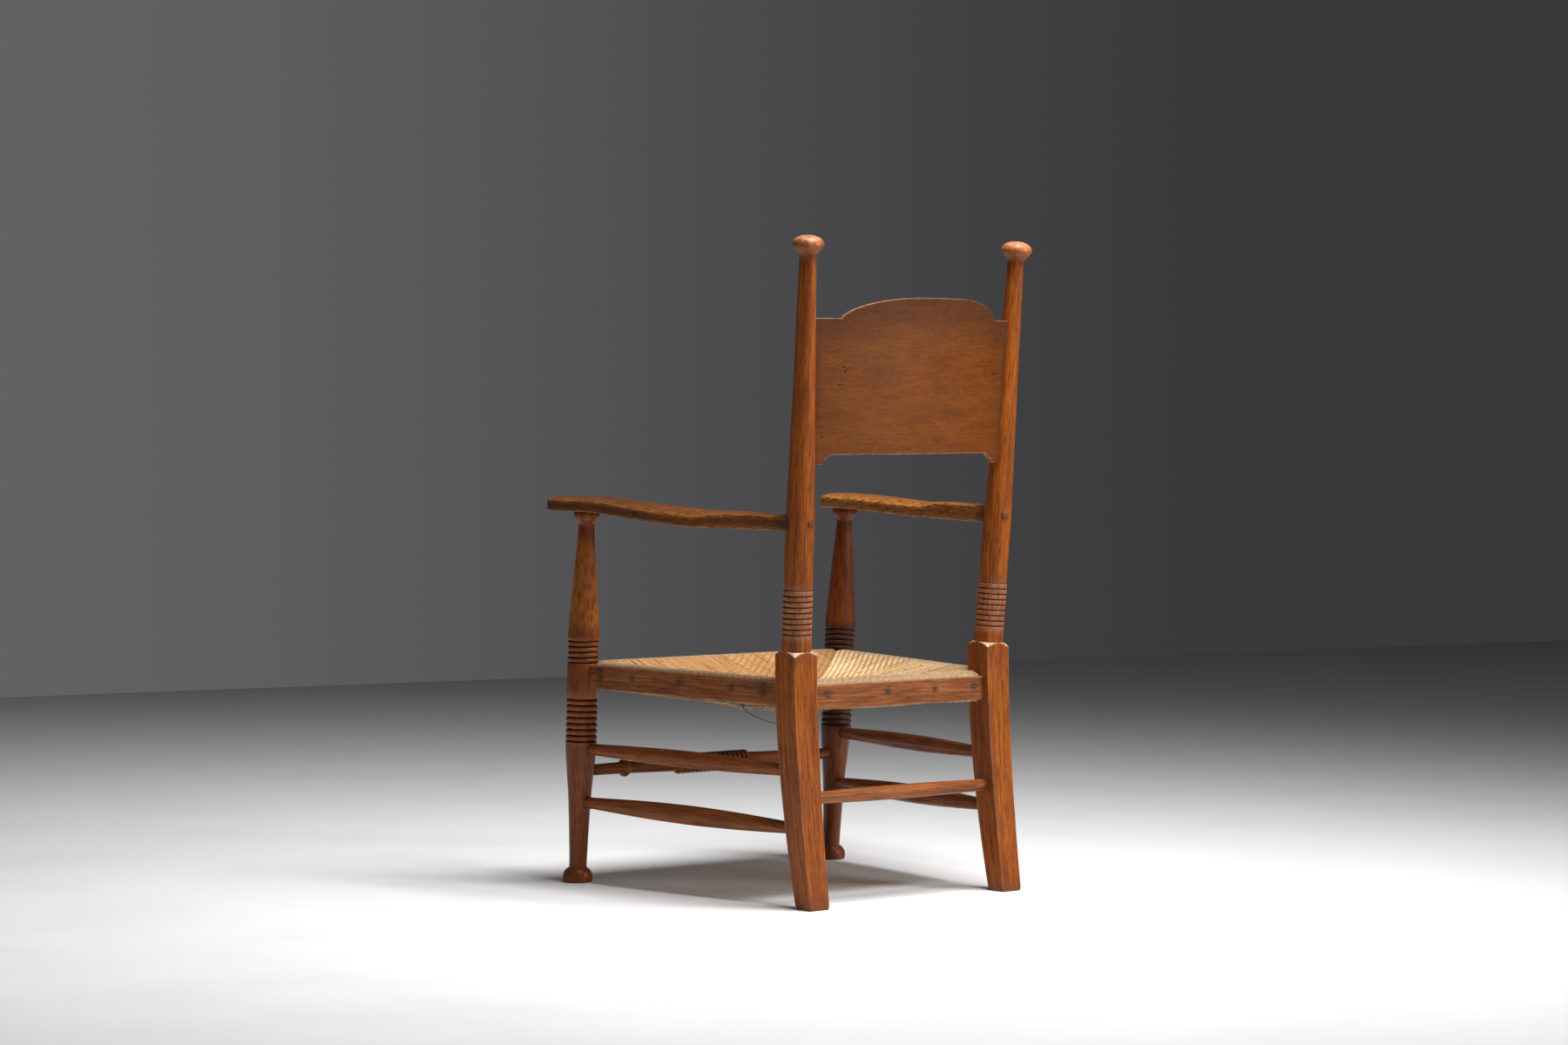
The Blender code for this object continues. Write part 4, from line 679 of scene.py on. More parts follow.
class WoodColours(bpy.types.PropertyGroup):
    """Light and dark tones of each kind of oak piece."""
    rear_light: colour_property(
        "Rear posts, light", "Pale grain of the rear posts", (0.345, 0.088, 0.0068, 1.0))
    rear_dark: colour_property(
        "Rear posts, dark", "Dark grain of the rear posts", (0.165, 0.036, 0.004, 1.0))
    front_light: colour_property(
        "Front posts, light", "Pale grain of the front posts", (0.24, 0.056, 0.006, 1.0))
    front_dark: colour_property(
        "Front posts, dark", "Dark grain of the front posts", (0.115, 0.023, 0.003, 1.0))
    arm_light: colour_property(
        "Arms, light", "Pale grain of the arms", (0.18, 0.048, 0.0075, 1.0))
    arm_dark: colour_property(
        "Arms, dark", "Dark grain of the arms", (0.080, 0.019, 0.004, 1.0))
    panel_light: colour_property(
        "Back panel, light", "Pale grain of the back panel", (0.186, 0.050, 0.0044, 1.0))
    panel_dark: colour_property(
        "Back panel, dark", "Dark grain of the back panel", (0.128, 0.032, 0.0032, 1.0))
    stretcher_light: colour_property(
        "Stretchers, light", "Pale grain of the stretchers", (0.29, 0.082, 0.015, 1.0))
    stretcher_dark: colour_property(
        "Stretchers, dark", "Dark grain of the stretchers", (0.14, 0.035, 0.007, 1.0))
    strip_light: colour_property(
        "Edge strips, light", "Pale grain of the edge strips", (0.31, 0.102, 0.027, 1.0))
    strip_dark: colour_property(
        "Edge strips, dark", "Dark grain of the edge strips", (0.145, 0.040, 0.010, 1.0))


class RushLooks(bpy.types.PropertyGroup):
    """Colours and sizes of the woven rush."""
    pale: colour_property(
        "Pale straw", "Lightest rush", (0.95, 0.67, 0.37, 1.0))
    golden: colour_property(
        "Golden straw", "Most of the rush", (0.84, 0.52, 0.24, 1.0))
    brown: colour_property(
        "Brown straw", "Darkest rush and its flecks", (0.36, 0.18, 0.065, 1.0))
    twine: colour_property(
        "Twine", "Loose twine under the seat", (0.37, 0.21, 0.085, 1.0))
    pitch: FloatProperty(
        name="Strand pitch", description="Distance from one strand to the next", unit="LENGTH",
        default=0.0046, min=0.003, max=0.008)
    radius: FloatProperty(
        name="Strand radius", description="Radius of one twisted strand", unit="LENGTH",
        default=0.00245, min=0.0015, max=0.004)
    twist: FloatProperty(
        name="Twist pitch", description="Length of one turn of a strand's twist", unit="LENGTH",
        default=0.0150, min=0.005, max=0.04)
    slack: FloatProperty(
        name="Slack below", description="How far the strands below the seat may sag",
        unit="LENGTH", default=0.0035, min=0.0, max=0.006)


class TurningLooks(bpy.types.PropertyGroup):
    """How finely the turned and nailed pieces are made."""
    post_segments: IntProperty(
        name="Post segments", description="Faces round each post", default=64, min=24, max=128)
    stretcher_segments: IntProperty(
        name="Stretcher segments", description="Faces round each stretcher", default=40, min=16,
        max=96)
    edge_radius: FloatProperty(
        name="Worn edge", description="Radius worn onto square edges", unit="LENGTH",
        default=0.0017, min=0.0003, max=0.003)
    nail_radius: FloatProperty(
        name="Nail head radius", description="Radius of each nail head", unit="LENGTH",
        default=0.0032, min=0.002, max=0.005)
    iron: colour_property(
        "Nail iron", "Colour of the nails and pins", (0.032, 0.019, 0.012, 1.0))


class StudioLooks(bpy.types.PropertyGroup):
    """Floor, background and light."""
    floor: colour_property(
        "Floor", "Colour of the floor under the chair", (0.91, 0.91, 0.91, 1.0))
    # Painted shade: the floor's colour outside its painted pool of light
    floor_in_shade: colour_property(
        "Far floor", "Colour of the floor far from the chair", (0.27, 0.27, 0.276, 1.0))
    backdrop: colour_property(
        "Backdrop", "Colour behind the chair's left", (0.124, 0.124, 0.128, 1.0))
    # Painted shade on the backdrop behind the chair's right
    backdrop_in_shade: colour_property(
        "Backdrop, shaded", "Colour behind the chair's right", (0.041, 0.041, 0.044, 1.0))
    overhead: FloatProperty(
        name="Overhead light", description="Power of the large soft overhead lamp", unit="POWER",
        default=136.0, min=0.0, max=2000.0)
    side: FloatProperty(
        name="Side light", description="Power of the lamp at the camera's right", unit="POWER",
        default=51.0, min=0.0, max=2000.0)
    fill: FloatProperty(
        name="Fill", description="Strength of the even light from all round", default=0.045,
        min=0.0, max=2.0)


FINISHES = {}


def finish_of(name):
    """The chair's shared finishes, each made once."""
    if name not in FINISHES:
        FINISHES[name] = make_finish(name)
    return FINISHES[name]


def make_finish(name):
    """Builds one of the chair's finishes from the colours in the sidebar."""
    wood, rush = bpy.context.scene.armchair_wood, bpy.context.scene.armchair_rush
    if name == "rear_oak":
        # Pale worn colour: rubbed wood, and the painted highlight on the pommels and ring crowns
        return oak_finish("oak_rear_posts", wood.rear_light[:], wood.rear_dark[:],
                          worn=(0.86, 0.62, 0.44, 1.0))
    if name == "front_oak":
        # Worn colour: rubbed crowns, and the left cone's painted highlight
        return oak_finish("oak_front_posts", wood.front_light[:], wood.front_dark[:], streaks=0.7,
                          worn=(0.52, 0.17, 0.024, 1.0))
    if name == "arm_oak":
        # Worn colour: rubbed edges, and the right arm's painted highlight
        return oak_finish("oak_arms", wood.arm_light[:], wood.arm_dark[:], streaks=0.8, fleck=0.55,
                          roughness=0.36, worn=(0.72, 0.30, 0.05, 1.0))
    if name == "panel_oak":
        return oak_finish("oak_panel", wood.panel_light[:], wood.panel_dark[:], "fine", 0.45,
                          roughness=0.40, gloss=0.20, worn=(0.62, 0.34, 0.17, 1.0),
                          cracks=PANEL_CRACKS, knots=PANEL_KNOTS)
    if name == "stretcher_oak":
        return oak_finish("oak_stretchers", wood.stretcher_light[:], wood.stretcher_dark[:],
                          streaks=0.7, roughness=0.38)
    if name == "strip_oak":
        return oak_finish("oak_strips", wood.strip_light[:], wood.strip_dark[:], streaks=0.8,
                          roughness=0.48, gloss=0.20)
    if name == "rail_wood":
        return oak_finish("rail_wood", (0.50, 0.33, 0.17, 1.0), (0.34, 0.20, 0.09, 1.0),
                          streaks=0.5, roughness=0.65, gloss=0.10)
    if name == "rush":
        return rush_finish("rush", rush.pale[:], rush.golden[:], rush.brown[:], rush.twist)
    if name == "rush_core":
        return rush_finish("rush_core", shade(rush.brown[:], 0.8), shade(rush.brown[:], 0.6),
                           shade(rush.brown[:], 0.3), rush.twist)
    if name == "twine":
        tint = rush.twine[:]
        return rush_finish("twine", shade(tint, 1.4), tint, shade(tint, 0.6), TWINE_TWIST)
    return iron_finish("iron", bpy.context.scene.armchair_turning.iron[:])


# Along the panel, height, half length and half width of each split
PANEL_CRACKS = (
    ((0.1580, 0.8870), 0.0060, 0.0011),
    ((0.1550, 0.8800), 0.0026, 0.0030),
    ((0.1650, 0.8570), 0.0070, 0.0013),
    ((-0.1820, 0.8760), 0.0120, 0.0007),
    ((-0.1680, 0.8960), 0.0050, 0.0009),
    ((0.1930, 0.7720), 0.0035, 0.0016),
)
# Along the panel, height and reach of each knot that bends the grain around it
PANEL_KNOTS = ((0.1570, 0.8840, 0.026), (0.1640, 0.8560, 0.020), (-0.1780, 0.8800, 0.034),
               (0.0100, 0.8500, 0.055))


def twine_points(step=0.0025):
    """Evenly spaced points of a smooth curve through the route."""
    route = [Vector(point) for point in TWINE_ROUTE]
    padded = [route[0] * 2 - route[1]] + route + [route[-1] * 2 - route[-2]]
    fine = []
    for a, b, c, d in zip(padded, padded[1:], padded[2:], padded[3:]):
        for i in range(20):
            t = i / 20
            fine.append(0.5 * (2 * b + (c - a) * t + (2 * a - 5 * b + 4 * c - d) * t ** 2
                               + (3 * b - a - 3 * c + d) * t ** 3))
    fine.append(route[-1])
    length = sum((q - p).length for p, q in zip(fine, fine[1:]))
    count = round(length / step)
    even, walked = [fine[0]], 0.0
    for p, q in zip(fine, fine[1:]):
        run = (q - p).length
        while len(even) < count and walked + run >= length * len(even) / count:
            even.append(p.lerp(q, (length * len(even) / count - walked) / run))
        walked += run
    return even + [fine[-1]], length




def strands_mesh(name, strands, sides=8, plies=0):
    """One mesh of closed tubes; plies gives each tube the section of a twisted cord."""
    places, faces, around, wears, strand_darkenings = [], [], [], [], []
    for strand in strands:
        first = len(places)
        walked = 0.0
        runs = []
        points = strand.points
        tangents = [(points[min(i + 1, len(points) - 1)] - points[max(i - 1, 0)]).normalized()
                    for i in range(len(points))]
        hint = Vector((tangents[0].y, -tangents[0].x, 0.0))
        if hint.length < 0.1:
            hint = Vector((1.0, 0.0, 0.0))
        for i, (point, radius) in enumerate(zip(points, strand.radii)):
            if i > 0:
                walked += (point - points[i - 1]).length
            runs.append(walked)
            tangent = tangents[i]
            hint = (hint - tangent * hint.dot(tangent)).normalized()
            other = tangent.cross(hint)
            for k in range(sides):
                angle = math.tau * k / sides
                reach = radius
                if plies:
                    turn = angle * plies + walked * math.tau / TWINE_TWIST
                    reach *= 0.86 + 0.14 * math.cos(turn)
                places.append(point + hint * math.cos(angle) * reach
                              + other * math.sin(angle) * reach * strand.flatness)
                wears.append(strand.wear[i])
                strand_darkenings.append(strand.age)
        count = len(points)
        for i in range(count - 1):
            for k in range(sides):
                j = (k + 1) % sides
                faces.append((first + i * sides + k, first + i * sides + j,
                              first + (i + 1) * sides + j, first + (i + 1) * sides + k))
                for a, b in ((k, runs[i]), (k + 1, runs[i]), (k + 1, runs[i + 1]),
                             (k, runs[i + 1])):
                    around += (a / sides, b, strand.pick)
        for cap, run in ((range(sides - 1, -1, -1), runs[0]), (range(sides), runs[-1])):
            row = 0 if run == runs[0] else count - 1
            faces.append(tuple(first + row * sides + k for k in cap))
            around += [value for k in cap for value in (k / sides, run, strand.pick)]
    mesh = bpy.data.meshes.new(name)
    mesh.from_pydata(places, [], faces)
    layer = mesh.attributes.new("strand", "FLOAT_VECTOR", "CORNER")
    layer.data.foreach_set("vector", around)
    for key, values in (("wear", wears), ("age", strand_darkenings)):
        mesh.attributes.new(key, "FLOAT", "POINT").data.foreach_set("value", values)
    return mesh


class SeatSide:
    """One side of the seat in plan: the strip's outer face line and the rail heights along it."""

    def __init__(self, start, end, start_height, end_height):
        self.start = start
        self.along = (end - start).normalized()
        self.inward = Vector((-self.along.y, self.along.x))
        if self.inward.dot(-start) < 0.0:
            self.inward = -self.inward
        self.length = (end - start).length
        self.heights = (start_height, end_height)

    def rail_height(self, distance):
        share = distance / self.length
        return self.heights[0] + (self.heights[1] - self.heights[0]) * share

    def point(self, distance, depth, height):
        flat = self.start + self.along * distance + self.inward * depth
        return Vector((flat.x, flat.y, height))

    def distance_of(self, flat):
        return (flat - self.start).dot(self.along)

    def crossed_by(self, origin, direction, depth):
        """How far along a plan ray it meets this side's line at a depth inwards."""
        gap = (self.start + self.inward * depth - origin).dot(self.inward)
        return gap / direction.dot(self.inward)


def cross_lines(point_a, along_a, point_b, along_b):
    """Where two lines in plan cross."""
    determinant = along_a.x * along_b.y - along_a.y * along_b.x
    between = point_b - point_a
    return point_a + along_a * ((between.x * along_b.y - between.y * along_b.x) / determinant)


class Seat:
    """The seat's four sides and the dished surface of the rush between them."""

    def __init__(self):
        drum = front_axis(1, FRONT_RAIL_HEIGHT)
        front_y, front_x = drum.y - STRIP_OUTBOARD, drum.x + STRIP_OUTBOARD
        rear_x = REAR_BLOCK[0] + BLOCK_SIDE / 2 - STRIP_SETBACK
        rear_y = REAR_BLOCK[1] + BLOCK_SIDE / 2 - STRIP_SETBACK
        slope = (rear_x - front_x) / (REAR_BLOCK[1] - drum.y)
        far_x = front_x + slope * (front_y - drum.y)
        near_x = front_x + slope * (rear_y - drum.y)
        high, low, back = FRONT_RAIL_HEIGHT, SIDE_RAIL_REAR_HEIGHT, REAR_RAIL_HEIGHT
        corners = [Vector(c) for c in (
            (far_x, front_y), (-far_x, front_y), (-near_x, rear_y), (near_x, rear_y))]
        self.sides = {
            "front": SeatSide(corners[0], corners[1], high, high),
            "right": SeatSide(corners[1], corners[2], high, low),
            "rear": SeatSide(corners[2], corners[3], back, back),
            "left": SeatSide(corners[0], corners[3], high, low),
        }
        self.order = ("front", "right", "rear", "left")
        self.middle = sum(self.outline(0.0), Vector((0.0, 0.0))) / 4
        self.edge = [self.corner_height(i) for i in range(4)]
        self.inner = self.outline(2 * RUSH_ROUND)
        self.steepness = [DISH_STEEPNESS[end] for end in ("front", "rear", "rear", "front")]

    def outline(self, depth):
        """Plan corners at a depth in from the strips' inner faces."""
        inset = STRIP_THICKNESS + PLAY + depth
        corners = []
        for i in range(4):
            a, b = self.sides[self.order[i]], self.sides[self.order[(i + 1) % 4]]
            corners.append(cross_lines(a.start + a.inward * inset, a.along,
                                       b.start + b.inward * inset, b.along))
        return corners

    def corner_height(self, i):
        a, b = self.sides[self.order[i]], self.sides[self.order[(i + 1) % 4]]
        corner = cross_lines(a.start + a.inward * RAIL_DEPTH, a.along,
                             b.start + b.inward * RAIL_DEPTH, b.along)
        return (a.rail_height(a.distance_of(corner)) + b.rail_height(b.distance_of(corner))) / 2

    def heights(self, flat):
        """(top, bottom) of the rush at a plan point."""
        out = flat - self.middle
        best, share, part = None, 0.0, 0.0
        for i in range(4):
            a, b = self.inner[i], self.inner[(i + 1) % 4]
            side = b - a
            normal = Vector((side.y, -side.x))
            if normal.dot(a - self.middle) < 0.0:
                normal = -normal
            reach = normal.dot(out) / normal.dot(a - self.middle)
            if best is None or reach > best[0]:
                best = (reach, i)
        reach, i = best
        a, b = self.inner[i], self.inner[(i + 1) % 4]
        if reach > 1e-6:
            part = (self.middle + out / reach - a).dot(b - a) / (b - a).length_squared
        part = min(1.0, max(0.0, part))
        share = min(0.97, max(0.0, 1.0 - reach))
        j = (i + 1) % 4
        height = self.edge[i] + (self.edge[j] - self.edge[i]) * part
        power = self.steepness[i] + (self.steepness[j] - self.steepness[i]) * part
        fall = 1.0 - (1.0 - share) ** power
        top, bottom = height + RUSH_TOP, height + RUSH_BOTTOM
        return top + (DISH_HEIGHT - top) * fall, bottom + (BELLY_HEIGHT - bottom) * fall

    def span(self, word):
        """Distances along a side at which the posts' faces stop a straight piece."""
        side = self.sides[word]
        reach = DRUM_RADIUS + PLAY
        if word in SIDES:
            front = front_axis(SIDES[word], FRONT_RAIL_HEIGHT).to_2d()
            face = cross_lines(side.start, side.along,
                               Vector((0.0, REAR_BLOCK[1] - BLOCK_SIDE / 2)), Vector((1.0, 0.0)))
            return (side.distance_of(front) + reach,
                    side.distance_of(face) - STRIP_THICKNESS * abs(side.along.x))
        if word == "front":
            return (side.distance_of(front_axis(1, FRONT_RAIL_HEIGHT).to_2d()) + reach,
                    side.distance_of(front_axis(-1, FRONT_RAIL_HEIGHT).to_2d()) - reach)
        face_x = REAR_BLOCK[0] - BLOCK_SIDE / 2
        return (side.distance_of(Vector((-face_x, REAR_BLOCK[1]))),
                side.distance_of(Vector((face_x, REAR_BLOCK[1]))))


def wavy(point, scale, seed):
    """Smooth value from -1 to 1 that depends only on place and seed."""
    return noise.noise(Vector(point) * scale + Vector((seed * 3.7, seed * 1.3, seed * 7.1)))


def rush_strand(seat, word, origin, pick, looks):
    """One strand: from the seam on top, over the rail, under it and back to the seam below."""
    side = seat.sides[word]
    inward = {"front": Vector((0.0, 1.0)), "rear": Vector((0.0, -1.0)),
              "left": Vector((-1.0, 0.0)), "right": Vector((1.0, 0.0))}[word]
    radius = looks.radius * (1.0 + 0.10 * wavy((pick * 900.0, 0.0, 0.0), 1.0, 2))
    start = origin + inward * side.crossed_by(origin, inward, STRIP_THICKNESS + PLAY + radius * 0.7)
    corners = seat.outline(0.0)
    ends = {"front": (3, 0), "right": (0, 1), "rear": (1, 2), "left": (2, 3)}[word]
    reach = None
    for i in ends:
        seam = SEAM_CENTRE - corners[i]
        meet = cross_lines(start, inward, corners[i], seam)
        length = (meet - start).dot(inward)
        inside = -0.001 <= (meet - corners[i]).dot(seam) / seam.length_squared <= 1.001
        if inside and (reach is None or length < reach):
            reach = length
    if reach is None or reach < 0.012:
        return None
    height = side.rail_height(side.distance_of(start))
    bend = RUSH_ROUND - radius * 0.7
    lift = 0.0008 + 0.0005 * wavy((pick * 700.0, 1.0, 0.0), 1.0, 5)
    points, wear = [], []
    steps = max(3, round((reach - bend) / 0.011))
    dip = 0.0032

    def flat_at(inside):
        sway = 0.0004 * wavy((inside * 30.0, pick * 800.0, 0.0), 1.0, 8)
        return start + inward * inside + Vector((-inward.y, inward.x)) * sway

    def mark(inside, z, worn):
        flat = flat_at(inside)
        points.append(Vector((flat.x, flat.y, z)))
        wear.append(worn)

    for inside, drop in ((reach + looks.pitch * 0.6, dip), (reach, dip * 0.35)):
        mark(inside, seat.heights(flat_at(min(inside, reach)))[0] - radius + lift - drop, 0.0)
    for i in range(steps):
        inside = reach - looks.pitch * 0.8 - (reach - looks.pitch * 0.8 - bend) * i / steps
        ripple = 0.0006 * wavy((inside * 12.0, pick * 300.0, 0.0), 1.0, 3)
        z = seat.heights(flat_at(inside))[0] - radius + lift + ripple
        mark(inside, z, 0.75 * blend(0.030, 0.012, inside))
    for sine, cosine in arc(90, 68, 45, 22, 0):
        mark(bend * (1.0 - cosine),
             height + RUSH_TOP - RUSH_ROUND + (RUSH_ROUND - radius + lift) * sine, 0.85)
    slack = looks.slack * max(0.0, 0.35 + 0.9 * wavy((start.x * 9.0, start.y * 9.0, 0.0), 1.0, 11)
                              + 0.35 * wavy((pick * 950.0, 0.0, 4.0), 1.0, 12))
    for sine, cosine in arc(0, 22, 45, 68, 90):
        mark(bend * (1.0 - cosine),
             height + RUSH_BOTTOM + RUSH_ROUND - (RUSH_ROUND - radius + slack) * sine, 0.55)
    for i in range(1, steps + 1):
        inside = bend + (reach - looks.pitch * 0.8 - bend) * i / steps
        z = seat.heights(flat_at(inside))[1] + radius
        mark(inside, z - slack * (1.0 - blend(0.02, 0.12, inside)), 0.3)
    for inside, drop in ((reach, dip * 0.35), (reach + looks.pitch * 0.6, dip)):
        mark(inside, seat.heights(flat_at(min(inside, reach)))[1] + radius + drop, 0.0)
    radii = [radius] * len(points)
    return Strand(points, radii, wear, pick, 0.94, RUSH_SIDE_DARKENING[word])


def rush_strands(seat, looks):
    """Every strand of the seat, side by side along its four rails."""
    strands = []
    for word, side in seat.sides.items():
        low, high = seat.span(word)
        first, last = side.point(low, 0.0, 0.0), side.point(high, 0.0, 0.0)
        key = 1 if word in SIDES else 0
        begin, end = sorted((first[key], last[key]))
        begin, end = begin + looks.radius, end - looks.radius
        count = round((end - begin) / looks.pitch)
        for i in range(count + 1):
            value = begin + (end - begin) * i / count
            share = (value - first[key]) / (last[key] - first[key])
            origin = side.start + side.along * (low + (high - low) * share)
            pick = random.Random(f"{word}{i}").random()
            strand = rush_strand(seat, word, origin, pick, looks)
            if strand is not None:
                strands.append(strand)
    return strands


def loose_strand(side, tie, number, start, end, depth, sag):
    """One long strand that has come away below a rail; the knot at tie draws it in."""
    points = []
    past_tie = end >= tie
    peak = tie if past_tie else min(tie, (start + end) / 2)
    for i in range(33):
        distance = start + (end - start) * i / 32
        if distance < peak:
            share = ((distance - start) / (peak - start)) ** 1.3
        else:
            share = 1.0 - 0.35 * (distance - peak) / (end - peak)
        spread = min(1.0, abs(distance - tie) / 0.03) if past_tie else 1.0
        inset = STRIP_THICKNESS + KNOT_DEPTH + (depth - KNOT_DEPTH) * spread
        drop = (sag * spread + 0.0090 * (1.0 - spread)) * share - 0.0025
        wobble = 0.0007 * wavy((distance * 28.0, number, 0.0), 1.0, 21)
        height = side.rail_height(distance) + RUSH_BOTTOM - drop + wobble - 0.0012
        points.append(side.point(distance, inset, height))
    radius = 0.0010 + 0.0003 * (number % 2)
    return Strand(points, [radius] * 33, [0.2] * 33, 0.13 + number * 0.17, 0.8, 0.25)


def knot_strand(side, tie):
    """Small knot of two turns round the loose strands, where the twine leaves them."""
    points = []
    centre = side.rail_height(tie) + RUSH_BOTTOM - 0.0068
    for i in range(31):
        angle = math.tau * 2.2 * i / 30
        points.append(side.point(tie - 0.0025 + 0.005 * i / 30,
                                 STRIP_THICKNESS + KNOT_DEPTH + KNOT_RADIUS * math.cos(angle),
                                 centre + KNOT_RADIUS * math.sin(angle)))
    return Strand(points, [0.0011] * 31, [0.1] * 31, 0.52, 0.9, 0.5)


def loose_strands(seat):
    """Long strands worked loose below the left rail, gathered by a knot near the rear post."""
    side = seat.sides["left"]
    tie = side.distance_of(Vector(TWINE_ROUTE[0][:2]))
    loose = [loose_strand(side, tie, number, *row) for number, row in enumerate(LOOSE_STRANDS)]
    return loose + [knot_strand(side, tie)]


def core_rows(seat):
    """Stuffed body of the rush just below its strands: rows from the belly up to the dish."""
    shrink = 0.0030

    def loop(depth, lift, share, top):
        corners = seat.outline(depth)
        row = []
        for i in range(4):
            j = (i + 1) % 4
            for step in range(12):
                part = step / 12
                flat = corners[i].lerp(corners[j], part).lerp(seat.middle, share)
                if lift is None:
                    z = seat.heights(flat)[0 if top else 1] + (-shrink if top else shrink)
                else:
                    z = seat.edge[i] + (seat.edge[j] - seat.edge[i]) * part + lift
                place = Vector((flat.x, flat.y, z))
                row.append(Spot(place, place, 0.0, 0.0))
        return row

    shares = [0.97, 0.85, 0.70, 0.55, 0.40, 0.27, 0.15, 0.05]
    rows = [loop(RUSH_ROUND, None, share, False) for share in shares]
    reach = RUSH_ROUND - shrink
    for sine, cosine in arc(90, 45, 0):
        rows.append(loop(shrink + reach * (1.0 - cosine),
                         RUSH_BOTTOM + RUSH_ROUND - reach * sine, 0.0, False))
    for sine, cosine in arc(0, 45, 90):
        rows.append(loop(shrink + reach * (1.0 - cosine),
                         RUSH_TOP - RUSH_ROUND + reach * sine, 0.0, True))
    rows += [loop(RUSH_ROUND, None, share, True) for share in reversed(shares)]
    return rows


def square_section(half_width, half_depth, corner):
    """(x, y, edge) points round a rectangle with worn corners; edge is 1 on the corners."""
    points = []
    for quarter, (sx, sy) in enumerate(((1, 1), (-1, 1), (-1, -1), (1, -1))):
        for i in range(7):
            angle = math.radians(90 * quarter + 90 * i / 6)
            points.append((sx * (half_width - corner) + corner * math.cos(angle),
                           sy * (half_depth - corner) + corner * math.sin(angle), 1.0))
        across = half_width if quarter in (0, 2) else half_depth
        for share in (-0.90, -0.6, -0.3, 0.0, 0.3, 0.6, 0.90):
            reach = share * (across - corner)
            if quarter == 0:
                points.append((-reach, half_depth, 0.0))
            elif quarter == 1:
                points.append((-half_width, -reach, 0.0))
            elif quarter == 2:
                points.append((reach, -half_depth, 0.0))
            else:
                points.append((half_width, reach, 0.0))
    return points


def rear_profile():
    """(distance up the axis, radius) from the block's top to the finial's crown."""
    length = (CHAIR_HEIGHT - BLOCK_TOP) / lean(1, REAR_SPLAY, REAR_RAKE).z
    widest, neck = length - FINIAL_DOME, length - FINIAL_HEIGHT
    profile = [(0.0004, COLLAR_RADIUS), (0.0015, COLLAR_RADIUS), (0.014, COLLAR_RADIUS),
               (REAR_RINGS[0] - RING_MARGIN, COLLAR_RADIUS),
               (REAR_RINGS[0] - 0.0008, COLLAR_RADIUS - 0.0003)]
    profile += ring_profile(REAR_RINGS, COLLAR_RADIUS, REAR_RING_DEPTH, 4.0)
    waist = REAR_WAIST[1][0]
    profile += smooth_profile(
        [REAR_WAIST[0], REAR_WAIST[1]]
        + [(waist + (neck - waist) * share, radius) for share, radius in REAR_TAPER]
        + [(neck, FINIAL_NECK_RADIUS)], 0.012)[:-1]
    profile += reversed(swell(FINIAL_RADIUS, FINIAL_NECK_RADIUS, widest, neck, 14, 1.3))
    for sine, cosine in arc(12, 24, 36, 48, 58, 67, 75, 82, 87):
        profile.append((widest + FINIAL_DOME * sine, FINIAL_RADIUS * cosine))
    return profile


def leg_rows(side, seed, looks):
    """Square leg of a rear post, from its tucked foot up to the pommel."""
    rows = []
    block = BLOCK_TOP - POMMEL_HEIGHT - 0.0040
    heights = [0.0, 0.002, 0.006] + [0.006 + (block - 0.006) * i / 16 for i in range(1, 17)]
    for height in heights:
        share = max(0.0, (TAPER_START - height) / TAPER_START)
        half_width = (BLOCK_SIDE - (BLOCK_SIDE - REAR_FOOT[0]) * share) / 2
        half_depth = (BLOCK_SIDE - (BLOCK_SIDE - REAR_FOOT[1]) * share * share) / 2
        tuck = 0.0016 * (1.0 - min(1.0, height / 0.006)) ** 2
        centre = rear_leg_centre(side, height)
        row = []
        for x, y, edge in square_section(half_width - tuck, half_depth - tuck, looks.edge_radius):
            worn = edge * (LEG_EDGE_WEAR if height > 0.004 else 0.1)
            row.append(Spot(centre + Vector((x, y, 0.0)), Vector((x + seed * 0.3, y, height)),
                            worn, FOOT_DIRT * blend(0.02, 0.0, height)))
        rows.append(row)
    return rows


def pommel_rows(side, seed, looks):
    """Block's top, turned round about the leaning axis until it meets the collar."""
    rows = []
    half = BLOCK_SIDE / 2
    corner = half * math.sqrt(2.0)
    direction = lean(side, REAR_SPLAY, REAR_RAKE)
    for share in (1.0, 0.9, 0.8, 0.7, 0.6, 0.5, 0.4, 0.3, 0.2, 0.12, 0.06, 0.02, 0.0):
        height = BLOCK_TOP - POMMEL_HEIGHT * share
        radius = half + (corner - half) * (1.0 - (1.0 - share) ** POMMEL_POWER)
        centre = rear_leg_centre(side, height)
        row = []
        for x, y, edge in square_section(half, half, looks.edge_radius):
            length = math.hypot(x, y)
            cut = min(1.0, radius / length)
            # The cut corners get a painted highlight in the pale worn colour
            worn = POMMEL_HIGHLIGHT if cut < 0.985 and share < 0.95 else edge * 0.15
            fall = (x * direction.x + y * direction.y) * cut / direction.z
            row.append(Spot(centre + Vector((x * cut, y * cut, -fall)),
                            Vector((x * cut + seed * 0.3, y * cut, height - fall)), worn, 0.0))
        rows.append(row)
    return rows


def upper_rows(side, seed, looks):
    """Leaning turned part of a rear post, its points in line with those of the square leg."""
    rows = []
    half = BLOCK_SIDE / 2
    direction = lean(side, REAR_SPLAY, REAR_RAKE)
    base = rear_axis(side, BLOCK_TOP)
    across = Vector((1.0, 0.0, 0.0))
    across = (across - direction * across.dot(direction)).normalized()
    along = direction.cross(across)
    outline = [(x / math.hypot(x, y), y / math.hypot(x, y))
               for x, y, edge in square_section(half, half, looks.edge_radius)]
    profile = rear_profile()
    for (distance, radius), (wear, grime) in zip(profile, profile_marks(profile)):
        row = []
        for x, y in outline:
            place = base + direction * distance + (across * x + along * y) * radius
            row.append(Spot(place, Vector((x * radius + seed * 0.3, y * radius,
                                           BLOCK_TOP + distance)), wear, grime))
        rows.append(row)
    return rows


